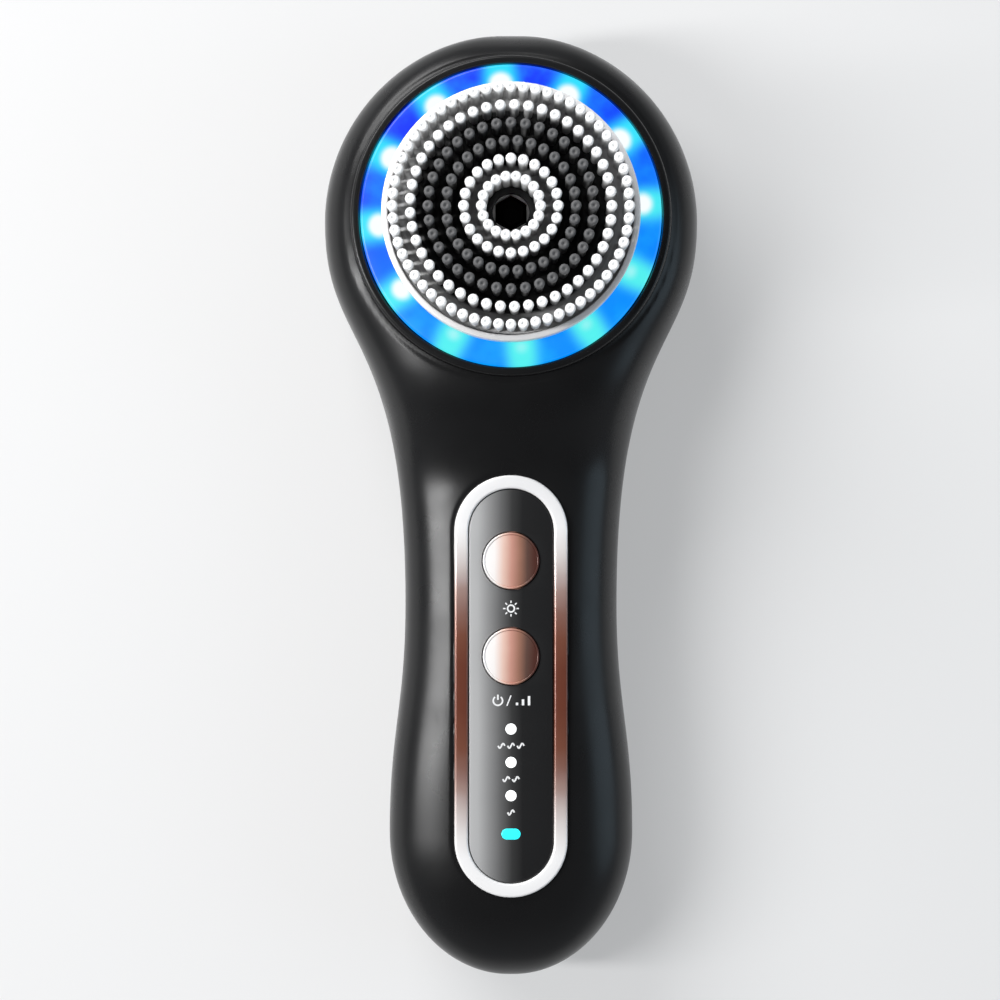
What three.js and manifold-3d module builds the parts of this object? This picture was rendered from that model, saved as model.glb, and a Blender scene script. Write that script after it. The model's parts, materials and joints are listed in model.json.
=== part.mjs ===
// Facial cleansing brush with a spinning bristle head, a ring of light and a two-button control panel.
// It lies on its back: +Z is the brush side, +Y runs from the handle's foot to the head, X is the width.
// The origin is on the flat rear face, under the middle of the object. All sizes are in millimetres.
import * as THREE from "three";
import { mergeVertices } from "three/addons/utils/BufferGeometryUtils.js";
import { ParametricGeometry } from "three/addons/geometries/ParametricGeometry.js";
import Module from "manifold-3d";

const wasm = await Module();
wasm.setup();

// ---------- driving dimensions ----------
const clearance = 0.3;
const shellWall = 2.2;
const seam = 0.3;
// how far one solid runs into another that it is joined to
const weld = 0.1;
// beyond every face of the object
const far = 300;

// outline, seen from the front
const headRadius = 34.6;
const shoulderWidth = 5.7;
const waistHalfWidth = 19.8;
const waistToHead = 70.7;
const waistReach = 52;
const headReach = 24;
const footHalfWidth = 22.75;
const footRise = 26.85;
const footReach = 19;
const footMargin = 16.2;

// section across the body
const handleSquareness = 2.8;
const headSquareness = 4.5;
const footSquareness = 2.4;
const riseOverPanel = 2;
const riseUnderFace = 4;
const squareUnderHead = 8;
const rearCrown = 17;
const partingHeight = 16;
const landDepth = 1;
const gasketThickness = 0.9;
const gasketHeight = 3;
const gasketTaper = 0.1;

// control panel
const panelWidth = 20.7;
const bezelBand = 2.5;
const bezelHeight = 1.9;
const bezelRound = 0.45;
const plateThickness = 1.5;
const crownOverDeck = 1.9;
const panelTopMargin = 15.7;
const buttonPitch = 17.5;
const lensDrop = 13.3;
const lensPitch = 6.1;
const chargeDrop = 7;
const panelEndMargin = 11.6;
const buttonRadius = 5.15;
const buttonTravel = 0.8;
const buttonProud = 0.6;
const buttonRound = 0.35;
const buttonDome = 0.1;
const flangeWidth = 0.9;
const flangeThickness = 1;
const lensRadius = 1;
const chargeLensLength = 3.5;
const membraneThickness = 0.8;
const membraneMargin = 1.5;
const nubRadius = 1.5;
const nubHeight = 0.6;
const switchSize = 6;
const switchHeight = 1.6;
const switchBodyHeight = 1.1;

// circuit board
const boardThickness = 1.6;
const boardWidth = 16;
const boardEndMargin = 2;
const boardOverBattery = 2.3;
const boardBossRadius = 2.4;
const boardScrewInset = 3.2;
const boardScrewAside = 5;
const chipSize = 1.4;
const chipHeight = 0.8;
const driverWidth = 6;
const driverLength = 9;
const driverHeight = 1;
const driverFromMiddle = 2;

// battery and charging coil
const batteryRadius = 7.1;
const batteryLength = 48;
const batteryNipple = 0.9;
const cradleFloor = 1.2;
const cradleWall = 1.6;
const cradleHeight = 8;
const coilRadius = 8;
const coilBore = 3;
const coilThickness = 1.5;
const coilLift = 0.9;
const ferriteThickness = 0.8;
const coilFromFoot = 24;
const batteryGap = 2.5;

// motor
const motorRadius = 12;
const motorLength = 12.4;
const motorWall = 1;
const canRound = 0.6;
const endCapThickness = 1.5;
const rotorRadius = 7.8;
const rotorHubRadius = 2.8;
const magnetThickness = 2.2;
const rotorEndGap = 1.6;
const slotCount = 3;
const slotWidth = 2.2;
const motorShaftRadius = 1;
const motorScrewAside = 6;
const motorScrewBite = 1;
const shaftOverPinion = 0.5;

// gear train: motor pinion, compound idler gear, output gear on the spindle
const gearModule = 0.5;
const pinionTeeth = 12;
const idlerLargeTeeth = 36;
const idlerSmallTeeth = 12;
const outputTeeth = 40;
const addendum = 0.75;
const dedendum = 1.15;
const pressureAngle = THREE.MathUtils.degToRad(20);
const backlash = 0.14;
const firstStageWidth = 3.4;
const outputWidth = 3.4;
const stageGap = 0.8;
const gearEndGap = 0.6;
const gearboxRoom = 1.225;
const gearboxWall = 1.6;
const gearboxFloor = 2;
const coverThickness = 1.6;
const earRadius = 3;
const earReach = 2.6;
const earDrop = 5;
const earScrewBite = 1.5;
const earPilotDepth = 1.8;
const idlerPinRadius = 1;
const neckStepMargin = 1;
const panelToGearbox = 8.5;

// spindle, bearings and seal
const spindleRadius = 2.5;
const bearingRadius = 4;
const bearingLength = 4;
const bearingDrop = 1.6;
const bearingBossDrop = 2;
const upperBearingRadius = 5.7;
const upperBearingLength = 2.4;
const bearingLedge = 1.2;
const sealLength = 2.4;
const sealSink = 0.6;
const driveFlangeRadius = 5.5;
const driveFlangeThickness = 0.8;
const spindleChamfer = 0.3;
const gearSeatWidth = 0.9;
const gearSeatHeight = 0.25;
const hexAcrossFlats = 5;
const hexLength = 3.6;

// light ring
const faceStep = 1.5;
const faceDraft = 0.5;
const faceEdge = 0.6;
const faceSideDepth = 3;
const ringMargin = 1.75;
const ringWidth = 6.2;
const ringThickness = 1.6;
const ringProud = 0.5;
const skirtWidth = 1;
const ringRound = 0.4;
const headDeck = 2.4;
const ledBoardThickness = 1;
const ledHeight = 0.8;
const ledSize = 2;
const ledCount = 12;
const ledTurn = THREE.MathUtils.degToRad(4.5);
const lightGap = 1.6;
const wireHoleRadius = 1.3;

// brush head
const ringShowing = 4.1;
const cupWall = 1.1;
const cupFloor = 1.8;
const cupGap = 1.1;
const rimHeight = 3.6;
const rimRound = 0.3;
const cupEdge = 0.8;
const cupDraft = 0.2;
const collarProud = 0.4;
const tuftPlateThickness = 1.5;
const centreHoleRadius = 3.6;
const collarWall = 0.5;
const collarGap = 0.1;
const rowCount = 6;
const rowGap = 1.15;
const bristleLength = 11;

// fasteners
const screwHeadHeight = 1.2;
const screwTaper = 0.6;
const headRoundHeight = 0.5;
const headRoundWidth = 0.25;
const driverSlot = 0.5;
const shellScrewRadius = 1.1;
const shellScrewHead = 2.1;
const shellScrewLength = 20;
const plugThickness = 1.4;
const plugMargin = 0.2;
const bossWall = 1.4;
const headScrewAngle = THREE.MathUtils.degToRad(34);
const headScrewInset = 8.4;
const footScrewInset = 10.1;
const smallScrewRadius = 0.8;
const smallScrewHead = 1.6;
const pilotDepth = 1;

const curveSteps = 26;
const sectionSteps = 20;
const roundSteps = 20;
const smallSteps = 8;
const ringSteps = 30;
const faceSteps = 40;

// ---------- places worked out from the driving dimensions ----------
const outputRadius = (gearModule * outputTeeth) / 2;
const idlerLargeRadius = (gearModule * idlerLargeTeeth) / 2;
const idlerSmallRadius = (gearModule * idlerSmallTeeth) / 2;
const pinionRadius = (gearModule * pinionTeeth) / 2;
const gearboxRadius = outputRadius + addendum * gearModule + gearboxRoom + gearboxWall;
const outputToIdler = outputRadius + idlerSmallRadius;
const idlerToMotor = idlerLargeRadius + pinionRadius;

// the neck is as long as the gear train needs, which runs down it from the head's centre
const faceRadius = headRadius - shoulderWidth;
const neckGap = outputToIdler + idlerToMotor + gearboxRadius + panelToGearbox - faceRadius;
const panelLength = panelTopMargin + buttonPitch + lensDrop + 2 * lensPitch + chargeDrop + panelEndMargin;
const overallLength = footMargin + panelLength + neckGap + faceRadius + headRadius;
const headY = overallLength / 2 - headRadius;
const footEndY = -overallLength / 2;
const footY = footEndY + footRise;
const waistY = headY - waistToHead;
const panelEndY = footEndY + footMargin;
const panelY = panelEndY + panelLength / 2;
const panelTopY = panelEndY + panelLength;
const lightButtonY = panelTopY - panelTopMargin;
const modeButtonY = lightButtonY - buttonPitch;
const firstLensY = modeButtonY - lensDrop;
const chargeLensY = firstLensY - 2 * lensPitch - chargeDrop;

// heights in the handle, from the rear wall up
const cradleBottom = shellWall + clearance;
const batteryZ = cradleBottom + cradleFloor + clearance + batteryRadius;
const boardBottom = batteryZ + batteryRadius + boardOverBattery;
const boardTop = boardBottom + boardThickness;
const switchBottom = boardTop + clearance;
const nubBottom = switchBottom + switchHeight + clearance;
const membraneBottom = nubBottom + nubHeight;
const membraneTop = membraneBottom + membraneThickness;
const handleCeiling = membraneTop + clearance;
const panelDeck = handleCeiling + flangeThickness + buttonTravel;
const plateBottom = panelDeck + clearance;
const plateTop = plateBottom + plateThickness;
const handleCrown = panelDeck + crownOverDeck;

// heights in the head, from the rear wall up
const endCapBottom = shellWall + clearance;
const canBottom = endCapBottom + endCapThickness + clearance;
const canTop = canBottom + motorLength;
const gearboxBottom = canTop + clearance;
const gearboxFloorTop = gearboxBottom + gearboxFloor;
const firstStageBottom = gearboxFloorTop + gearEndGap;
const firstStageTop = firstStageBottom + firstStageWidth;
const outputBottom = firstStageTop + stageGap;
const outputTop = outputBottom + outputWidth;
const gearboxRim = outputTop + gearEndGap - clearance;
const coverBottom = gearboxRim + clearance;
const coverTop = coverBottom + coverThickness;
const headCeiling = coverTop + clearance;
const ringFloor = headCeiling + headDeck;
const ledBoardBottom = ringFloor + clearance;
const ledBoardTop = ledBoardBottom + ledBoardThickness;
const ringUnderside = ledBoardTop + ledHeight + lightGap;
const ringTop = ringUnderside + ringThickness;
const faceHeight = ringTop - ringProud;
const headCrown = faceHeight - faceStep;

// places of the gear train
const idlerY = headY - outputToIdler;
const motorY = idlerY - idlerToMotor;
const earOffset = gearboxRadius + earReach;
const neckStepY = motorY - Math.max(gearboxRadius, motorRadius) - neckStepMargin;

// light ring and brush head
const ringOuter = faceRadius - ringMargin;
const ringInner = ringOuter - ringWidth;
const cupRadius = ringOuter - ringShowing;
const cupBottom = ringTop + cupGap;
const cupFloorTop = cupBottom + cupFloor;
const rimTop = cupFloorTop + rimHeight;
const platePlane = cupFloorTop + clearance;
const tuftPlateTop = platePlane + tuftPlateThickness;
const bristleBottom = tuftPlateTop + clearance;
const bristleTop = bristleBottom + bristleLength;
const cupInner = cupRadius - cupWall;
const hexClearRadius = (hexAcrossFlats / 2 + clearance) / Math.cos(Math.PI / 6);

// ---------- helpers ----------
// Turns a closed three.js geometry into a solid that can be cut and joined, with its faces pointing out.
function toSolid(geometry) {
  const bare = geometry.clone();
  bare.deleteAttribute("normal");
  bare.deleteAttribute("uv");
  const merged = mergeVertices(bare, 1e-4);
  const points = merged.attributes.position.array;
  const faces = [];
  let volume = 0;
  const corners = [new THREE.Vector3(), new THREE.Vector3(), new THREE.Vector3()];
  for (let i = 0; i < merged.index.count; i += 3) {
    const [a, b, c] = [0, 1, 2].map((k) => merged.index.array[i + k]);
    if (a === b || b === c || c === a) continue;
    [a, b, c].forEach((vertex, k) => corners[k].fromArray(points, 3 * vertex));
    volume += corners[0].dot(corners[1].clone().cross(corners[2]));
    faces.push([a, b, c]);
  }
  const outward = volume < 0 ? faces.map(([a, b, c]) => [a, c, b]) : faces;
  return new wasm.Manifold(
    new wasm.Mesh({
      numProp: 3,
      vertProperties: new Float32Array(points),
      triVerts: new Uint32Array(outward.flat()),
    })
  );
}

// A box between two opposite corners.
function block(low, high) {
  const geometry = new THREE.BoxGeometry(high[0] - low[0], high[1] - low[1], high[2] - low[2]);
  geometry.translate((low[0] + high[0]) / 2, (low[1] + high[1]) / 2, (low[2] + high[2]) / 2);
  return toSolid(geometry);
}

// A body turned about a line parallel to Z: the profile is a list of [radius, height].
function turned(profile, x = 0, y = 0, steps = roundSteps) {
  const outline = profile.map(([radius, height]) => new THREE.Vector2(radius, height));
  const geometry = new THREE.LatheGeometry(outline, steps);
  geometry.rotateX(Math.PI / 2);
  geometry.translate(x, y, 0);
  return toSolid(geometry);
}

function disc(radius, bottom, top, x = 0, y = 0, steps = roundSteps) {
  return turned([[0, bottom], [radius, bottom], [radius, top], [0, top]], x, y, steps);
}

function washer(inner, outer, bottom, top, x = 0, y = 0, steps = roundSteps) {
  const profile = [[inner, bottom], [outer, bottom], [outer, top], [inner, top], [inner, bottom]];
  return turned(profile, x, y, steps);
}

// A flat outline raised between two heights, with its own centre put at x, y.
function raised(shape, bottom, top, x = 0, y = 0) {
  const settings = { depth: top - bottom, bevelEnabled: false, curveSegments: smallSteps };
  const geometry = new THREE.ExtrudeGeometry(shape, settings);
  geometry.translate(x, y, bottom);
  return toSolid(geometry);
}

// A slot outline with round ends, standing along Y.
function slot(width, length) {
  const radius = width / 2;
  const straight = length / 2 - radius;
  const shape = new THREE.Shape();
  shape.absarc(0, straight, radius, 0, Math.PI);
  shape.absarc(0, -straight, radius, Math.PI, 2 * Math.PI);
  shape.closePath();
  return shape;
}

function hexagon(radius) {
  const corners = Array.from({ length: 6 }, (_, k) => {
    const angle = (k * Math.PI) / 3;
    return new THREE.Vector2(radius * Math.cos(angle), radius * Math.sin(angle));
  });
  return new THREE.Shape(corners);
}

function smoothRise(from, to, low, high, value) {
  return low + (high - low) * THREE.MathUtils.smoothstep(value, from, to);
}

// ---------- the body's outer form ----------
// Right half of the outline, from the foot's tip to the top of the head, drawn in by an inset.
function halfOutline(inset) {
  const path = new THREE.Path();
  const footWidth = footHalfWidth - inset;
  const waist = waistHalfWidth - inset;
  const head = headRadius - inset;
  path.moveTo(0, footEndY + inset);
  path.absellipse(0, footY, footWidth, footRise - inset, -Math.PI / 2, 0, false);
  path.bezierCurveTo(footWidth, footY + footReach, waist, waistY - footReach, waist, waistY);
  path.bezierCurveTo(waist, waistY + waistReach, head, headY - headReach, head, headY);
  path.absarc(0, headY, head, 0, Math.PI / 2, false);
  return path.getSpacedPoints(curveSteps);
}

// How far the body's ends round over: 1 along the handle, falling to 0 at the two tips.
function endRounding(y, inset) {
  const past = y < footY ? (footY - y) / (footRise - inset) : (y - headY) / (headRadius - inset);
  const power = y < footY ? footSquareness : headSquareness;
  return Math.pow(Math.max(0, 1 - Math.pow(Math.max(0, past), power)), 1 / power);
}

// A closed form lofted along the outline: each section is a rounded rectangle about the parting plane.
function bodyForm(inset) {
  const outline = halfOutline(inset);
  const riseStart = panelTopY - riseOverPanel;
  const riseEnd = headY - faceRadius + riseUnderFace;
  const surface = (u, v, target) => {
    const { x: halfWidth, y } = outline[Math.round(v * curveSteps)];
    const angle = 2 * Math.PI * u;
    const crown = smoothRise(riseStart, riseEnd, handleCrown, headCrown, y) - partingHeight;
    const height = (Math.sin(angle) > 0 ? crown : rearCrown) - inset;
    const power = smoothRise(panelTopY, headY - squareUnderHead, handleSquareness, headSquareness, y);
    const across = Math.cos(angle);
    const up = Math.sin(angle);
    const reach = Math.pow(Math.pow(Math.abs(across), power) + Math.pow(Math.abs(up), power), -1 / power);
    const rise = height * endRounding(y, inset) * reach * up;
    target.set(halfWidth * reach * across, y, partingHeight + rise);
  };
  return toSolid(new ParametricGeometry(surface, sectionSteps, curveSteps));
}

const outerForm = bodyForm(0);
const innerForm = bodyForm(shellWall);
// the room that the pieces inside may fill
const roomForm = bodyForm(shellWall + clearance);

function layer(bottom, top, fromY = -far, toY = far) {
  return block([-far, fromY, bottom], [far, toY, top]);
}

// ---------- screws ----------
// A pan-head screw whose head's bearing face is at seat; it points up (+Z) or down (-Z).
function screw(x, y, seat, length, radius, crownRadius, points) {
  const tip = seat + points * length;
  const crown = seat - points * screwHeadHeight;
  const profile = [
    [0, tip],
    [radius / 2, tip],
    [radius, tip - points * screwTaper],
    [radius, seat],
    [crownRadius, seat],
    [crownRadius, crown + points * headRoundHeight],
    [crownRadius - headRoundWidth, crown],
    [0, crown],
  ];
  const body = turned(profile, x, y, smallSteps);
  const slotFloor = crown + (points * screwHeadHeight) / 2;
  const outside = crown - points;
  const low = [x - crownRadius, y - driverSlot / 2, Math.min(slotFloor, outside)];
  const high = [x + crownRadius, y + driverSlot / 2, Math.max(slotFloor, outside)];
  return body.subtract(block(low, high));
}

const headScrewReach = headRadius - headScrewInset;
const headScrewX = headScrewReach * Math.cos(headScrewAngle);
const headScrewY = headY + headScrewReach * Math.sin(headScrewAngle);
const footScrewX = footHalfWidth - footScrewInset;
const shellScrewSpots = [
  [headScrewX, headScrewY],
  [-headScrewX, headScrewY],
  [footScrewX, footY],
  [-footScrewX, footY],
];
const recessRadius = shellScrewHead + clearance + plugMargin;
const plugBottom = landDepth;
const shellScrewSeat = plugBottom + plugThickness + clearance + screwHeadHeight + clearance;
const shellBossRadius = recessRadius + bossWall;
const boardEndY = panelEndY + boardEndMargin;
const boardStartY = panelTopY - boardEndMargin;
const boardScrewSpots = [
  [boardScrewAside, boardStartY - boardScrewInset],
  [-boardScrewAside, boardEndY + boardScrewInset],
];
const earSpots = [
  [earOffset, headY - earDrop],
  [-earOffset, headY - earDrop],
  [0, headY + earOffset],
];
const smallScrewClear = smallScrewRadius + clearance;

// ---------- the two shells ----------
function frontShell() {
  const face = turned(
    [
      [0, partingHeight],
      [faceRadius + faceDraft, partingHeight],
      [faceRadius + faceDraft, headCrown - faceSideDepth],
      [faceRadius, faceHeight - faceEdge],
      [faceRadius - faceEdge, faceHeight],
      [0, faceHeight],
    ],
    0,
    headY,
    faceSteps
  );
  const handleRoom = layer(-far, handleCeiling, -far, neckStepY + weld);
  const headRoom = layer(-far, headCeiling, neckStepY, far);
  let shell = outerForm.add(face).subtract(innerForm.intersect(handleRoom.add(headRoom)));

  for (const [x, y] of shellScrewSpots) {
    const boss = disc(shellBossRadius, partingHeight, headCeiling, x, y, smallSteps);
    shell = shell.add(boss.intersect(outerForm));
    const screwTip = shellScrewSeat + shellScrewLength + clearance;
    shell = shell.subtract(disc(shellScrewRadius + clearance, 0, screwTip, x, y, smallSteps));
  }
  const pilotTop = handleCeiling + pilotDepth;
  for (const [x, y] of boardScrewSpots) {
    shell = shell.add(disc(boardBossRadius, boardTop + clearance, pilotTop, x, y, smallSteps));
    shell = shell.subtract(disc(smallScrewClear, 0, pilotTop, x, y, smallSteps));
  }
  for (const [x, y] of earSpots) {
    shell = shell.subtract(disc(smallScrewClear, 0, headCeiling + earPilotDepth, x, y, smallSteps));
  }

  // the panel's pocket, with holes for the buttons and the light pipes
  const pocket = slot(panelWidth + 2 * clearance, panelLength + 2 * clearance);
  shell = shell.subtract(raised(pocket, panelDeck, far, 0, panelY));
  const flangeHole = buttonRadius + flangeWidth + clearance;
  for (const y of [lightButtonY, modeButtonY]) {
    shell = shell.subtract(disc(flangeHole, 0, far, 0, y));
  }
  shell = shell.subtract(lensHoles(0, far));

  // the light ring's channel, a wire hole in its floor, and the spindle's stepped bore
  const channelInner = ringInner - clearance;
  const channelOuter = ringOuter + clearance;
  shell = shell.subtract(washer(channelInner, channelOuter, ringFloor, far, 0, headY, faceSteps));
  const wireY = headY + (ringInner + ringOuter) / 2;
  shell = shell.subtract(disc(wireHoleRadius, headCeiling - weld, ringFloor + weld, 0, wireY, smallSteps));
  const bore = turned(
    [
      [0, 0],
      [spindleRadius + 2 * clearance, 0],
      [spindleRadius + 2 * clearance, headCeiling + bearingLedge],
      [upperBearingRadius + clearance, headCeiling + bearingLedge],
      [upperBearingRadius + clearance, far],
      [0, far],
    ],
    0,
    headY
  );
  return shell.subtract(bore).intersect(layer(partingHeight + seam / 2, far));
}

function rearShell() {
  const cavity = innerForm.intersect(layer(shellWall, far));
  let shell = outerForm.subtract(cavity);
  for (const [x, y] of shellScrewSpots) {
    const boss = disc(shellBossRadius, 0, partingHeight, x, y, smallSteps);
    shell = shell.add(boss.intersect(outerForm));
  }
  for (const [x, y] of shellScrewSpots) {
    shell = shell.subtract(disc(recessRadius, -landDepth, shellScrewSeat + clearance, x, y, smallSteps));
    shell = shell.subtract(disc(shellScrewRadius + clearance, 0, far, x, y, smallSteps));
  }
  return shell.intersect(layer(0, partingHeight - seam / 2));
}

// A flat outline of the body at the parting plane, drawn in by an inset.
function bodyOutline(inset) {
  const right = halfOutline(inset);
  const left = right.slice(1, -1).reverse().map(({ x, y }) => new THREE.Vector2(-x, y));
  return new THREE.Shape([...right, ...left]);
}

function shellGasket() {
  const bottom = partingHeight - gasketHeight / 2;
  const top = partingHeight + gasketHeight / 2;
  const inset = shellWall + clearance + gasketTaper;
  const outside = raised(bodyOutline(inset), bottom, top);
  const inside = raised(bodyOutline(inset + gasketThickness), 0, far);
  return outside.intersect(roomForm).subtract(inside);
}

// ---------- control panel ----------
const lensSpots = [0, 1, 2].map((k) => firstLensY - k * lensPitch);

function lensHoles(bottom, top) {
  const holes = lensSpots.map((y) => disc(lensRadius + clearance, bottom, top, 0, y, smallSteps));
  const charge = slot(2 * (lensRadius + clearance), chargeLensLength + 2 * clearance);
  const turnedCharge = raised(charge, bottom, top).rotate([0, 0, 90]).translate([0, chargeLensY, 0]);
  return holes.reduce((all, one) => all.add(one), turnedCharge);
}

function panelBezel() {
  const outline = slot(panelWidth, panelLength);
  const inner = slot(panelWidth - 2 * bezelBand, panelLength - 2 * bezelBand);
  const body = raised(outline, plateBottom, plateBottom + bezelHeight - bezelRound, 0, panelY);
  const crown = raised(
    slot(panelWidth - 2 * bezelRound, panelLength - 2 * bezelRound),
    plateBottom + bezelHeight - 2 * bezelRound,
    plateBottom + bezelHeight,
    0,
    panelY
  );
  return body.add(crown).subtract(raised(inner, 0, far, 0, panelY));
}

function panelPlate() {
  const reveal = 2 * (bezelBand + clearance);
  let plate = raised(slot(panelWidth - reveal, panelLength - reveal), plateBottom, plateTop, 0, panelY);
  for (const y of [lightButtonY, modeButtonY]) {
    plate = plate.subtract(disc(buttonRadius + clearance, 0, far, 0, y));
  }
  return plate.subtract(lensHoles(0, far));
}

// A button: a domed cap, and a flange under the plate that stops it on the way up.
function button(y) {
  const top = plateTop + buttonProud;
  const profile = [
    [0, panelDeck - flangeThickness],
    [buttonRadius + flangeWidth, panelDeck - flangeThickness],
    [buttonRadius + flangeWidth, panelDeck],
    [buttonRadius, panelDeck],
    [buttonRadius, top - buttonRound],
    [buttonRadius - buttonRound, top - buttonDome],
    [buttonRadius / 2, top],
    [0, top],
  ];
  return turned(profile, 0, y);
}

function buttonMembrane() {
  const width = 2 * (buttonRadius + flangeWidth + clearance + membraneMargin);
  const middle = (lightButtonY + modeButtonY) / 2;
  let sheet = raised(slot(width, buttonPitch + width), membraneBottom, membraneTop, 0, middle);
  for (const y of [lightButtonY, modeButtonY]) {
    sheet = sheet.add(disc(nubRadius, nubBottom, membraneTop - weld, 0, y, smallSteps));
  }
  return sheet.intersect(roomForm);
}

function tactSwitch(y) {
  const half = switchSize / 2;
  const body = block([-half, y - half, switchBottom], [half, y + half, switchBottom + switchBodyHeight]);
  return body.add(disc(nubRadius, switchBottom, switchBottom + switchHeight, 0, y, smallSteps));
}

function mainBoard() {
  const middle = (boardStartY + boardEndY) / 2;
  const half = boardWidth / 2;
  let board = block([-half, boardEndY, boardBottom], [half, boardStartY, boardTop]);
  const chip = chipSize / 2;
  for (const y of [...lensSpots, chargeLensY]) {
    board = board.add(block([-chip, y - chip, boardTop - weld], [chip, y + chip, boardTop + chipHeight]));
  }
  const driverStart = middle + driverFromMiddle;
  const driverLow = [-driverWidth / 2, driverStart, boardBottom - driverHeight];
  board = board.add(block(driverLow, [driverWidth / 2, driverStart + driverLength, boardBottom + weld]));
  for (const [x, y] of boardScrewSpots) {
    board = board.subtract(disc(smallScrewClear, 0, far, x, y, smallSteps));
  }
  return board;
}

const lensBottom = boardTop + chipHeight + clearance;

function modeLens(y) {
  return disc(lensRadius, lensBottom, plateTop, 0, y, smallSteps);
}

function chargeLens() {
  const lens = raised(slot(2 * lensRadius, chargeLensLength), lensBottom, plateTop);
  return lens.rotate([0, 0, 90]).translate([0, chargeLensY, 0]);
}

// ---------- power ----------
const coilY = footEndY + coilFromFoot;
const batteryStartY = coilY + coilRadius + batteryGap;
const batteryEndY = batteryStartY + batteryLength;

// A body turned about a line parallel to Y: the profile is a list of [radius, y].
function turnedAlongY(profile, z, steps = roundSteps) {
  const outline = profile.map(([radius, y]) => new THREE.Vector2(radius, y));
  const geometry = new THREE.LatheGeometry(outline, steps);
  geometry.translate(0, 0, z);
  return toSolid(geometry);
}

function batteryCell() {
  const edge = 0.5;
  const nippleRadius = 2.6;
  return turnedAlongY(
    [
      [0, batteryStartY],
      [batteryRadius - edge, batteryStartY],
      [batteryRadius, batteryStartY + edge],
      [batteryRadius, batteryEndY - batteryNipple - edge],
      [batteryRadius - edge, batteryEndY - batteryNipple],
      [nippleRadius, batteryEndY - batteryNipple],
      [nippleRadius, batteryEndY],
      [0, batteryEndY],
    ],
    batteryZ
  );
}

function batteryCradle() {
  const half = batteryRadius + clearance + cradleWall;
  const start = batteryStartY - cradleWall;
  const end = batteryEndY + cradleWall;
  const tray = block([-half, start, cradleBottom], [half, end, cradleBottom + cradleHeight]);
  const radius = batteryRadius + clearance;
  const room = turnedAlongY(
    [[0, batteryStartY - clearance], [radius, batteryStartY - clearance],
      [radius, batteryEndY + clearance], [0, batteryEndY + clearance]],
    batteryZ
  );
  return tray.subtract(room).intersect(roomForm);
}

const coilBottom = shellWall + clearance + coilLift;
const ferriteBottom = coilBottom + coilThickness + clearance;

// ---------- motor ----------
function motorCan() {
  const inner = motorRadius - motorWall;
  const can = turned(
    [
      [inner, canBottom],
      [motorRadius, canBottom],
      [motorRadius, canTop - canRound],
      [motorRadius - canRound, canTop],
      [motorShaftRadius + clearance, canTop],
      [motorShaftRadius + clearance, canTop - motorWall],
      [inner, canTop - motorWall],
      [inner, canBottom],
    ],
    0,
    motorY
  );
  return motorScrewSpots.reduce(
    (body, [x, y]) => body.subtract(disc(smallScrewClear, canTop - 2 * motorWall, far, x, y, smallSteps)),
    can
  );
}

const motorScrewSpots = [
  [motorScrewAside, motorY],
  [-motorScrewAside, motorY],
];
const magnetOuter = motorRadius - motorWall - clearance;
const rotorBottom = canBottom + rotorEndGap;
const rotorTop = canTop - motorWall - 2 * rotorEndGap;

function rotorCore() {
  const bore = motorShaftRadius + clearance;
  let core = washer(bore, rotorRadius, rotorBottom, rotorTop, 0, motorY);
  for (let k = 0; k < slotCount; k += 1) {
    const cut = block([rotorHubRadius, -slotWidth / 2, 0], [far, slotWidth / 2, far]);
    core = core.subtract(cut.rotate([0, 0, (k * 360) / slotCount]).translate([0, motorY, 0]));
  }
  return core;
}

// ---------- gears ----------
const involute = (angle) => Math.tan(angle) - angle;

// A gear's outline with one tooth's middle at the given angle. Each flank is the chord of its involute.
function gearShape(teeth, toothAngle) {
  const pitch = (gearModule * teeth) / 2;
  const base = pitch * Math.cos(pressureAngle);
  const root = pitch - dedendum * gearModule;
  const tip = pitch + addendum * gearModule;
  const halfTooth = Math.PI / (2 * teeth) - backlash / (2 * pitch);
  const halfAt = (radius) => {
    const turn = Math.acos(Math.min(1, base / radius));
    return halfTooth + involute(pressureAngle) - involute(turn);
  };
  const flank = [
    [root, halfAt(Math.max(root, base))],
    [tip, halfAt(tip)],
  ];
  const points = [];
  for (let k = 0; k < teeth; k += 1) {
    const middle = toothAngle + (2 * Math.PI * k) / teeth;
    const rising = flank.map(([radius, half]) => [radius, middle - half]);
    const falling = flank.map(([radius, half]) => [radius, middle + half]).reverse();
    for (const [radius, turn] of [...rising, ...falling]) {
      points.push(new THREE.Vector2(radius * Math.cos(turn), radius * Math.sin(turn)));
    }
  }
  return new THREE.Shape(points);
}

function gear(teeth, toothAngle, bore, bottom, top, y) {
  const shape = gearShape(teeth, toothAngle);
  const wheel = raised(shape, bottom, top, 0, y);
  return wheel.subtract(disc(bore, 0, far, 0, y, smallSteps));
}

const towardsHead = Math.PI / 2;
const towardsFoot = -Math.PI / 2;

function compoundGear() {
  const bore = idlerPinRadius + clearance;
  const large = gear(
    idlerLargeTeeth, towardsFoot + Math.PI / idlerLargeTeeth, bore, firstStageBottom, firstStageTop, idlerY
  );
  const small = gear(
    idlerSmallTeeth, towardsHead + Math.PI / idlerSmallTeeth, bore, firstStageTop - weld, outputTop, idlerY
  );
  return large.add(small);
}

// ---------- gearbox ----------
function gearboxOutline(radius) {
  return slot(2 * radius, headY - motorY + 2 * radius);
}

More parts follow.
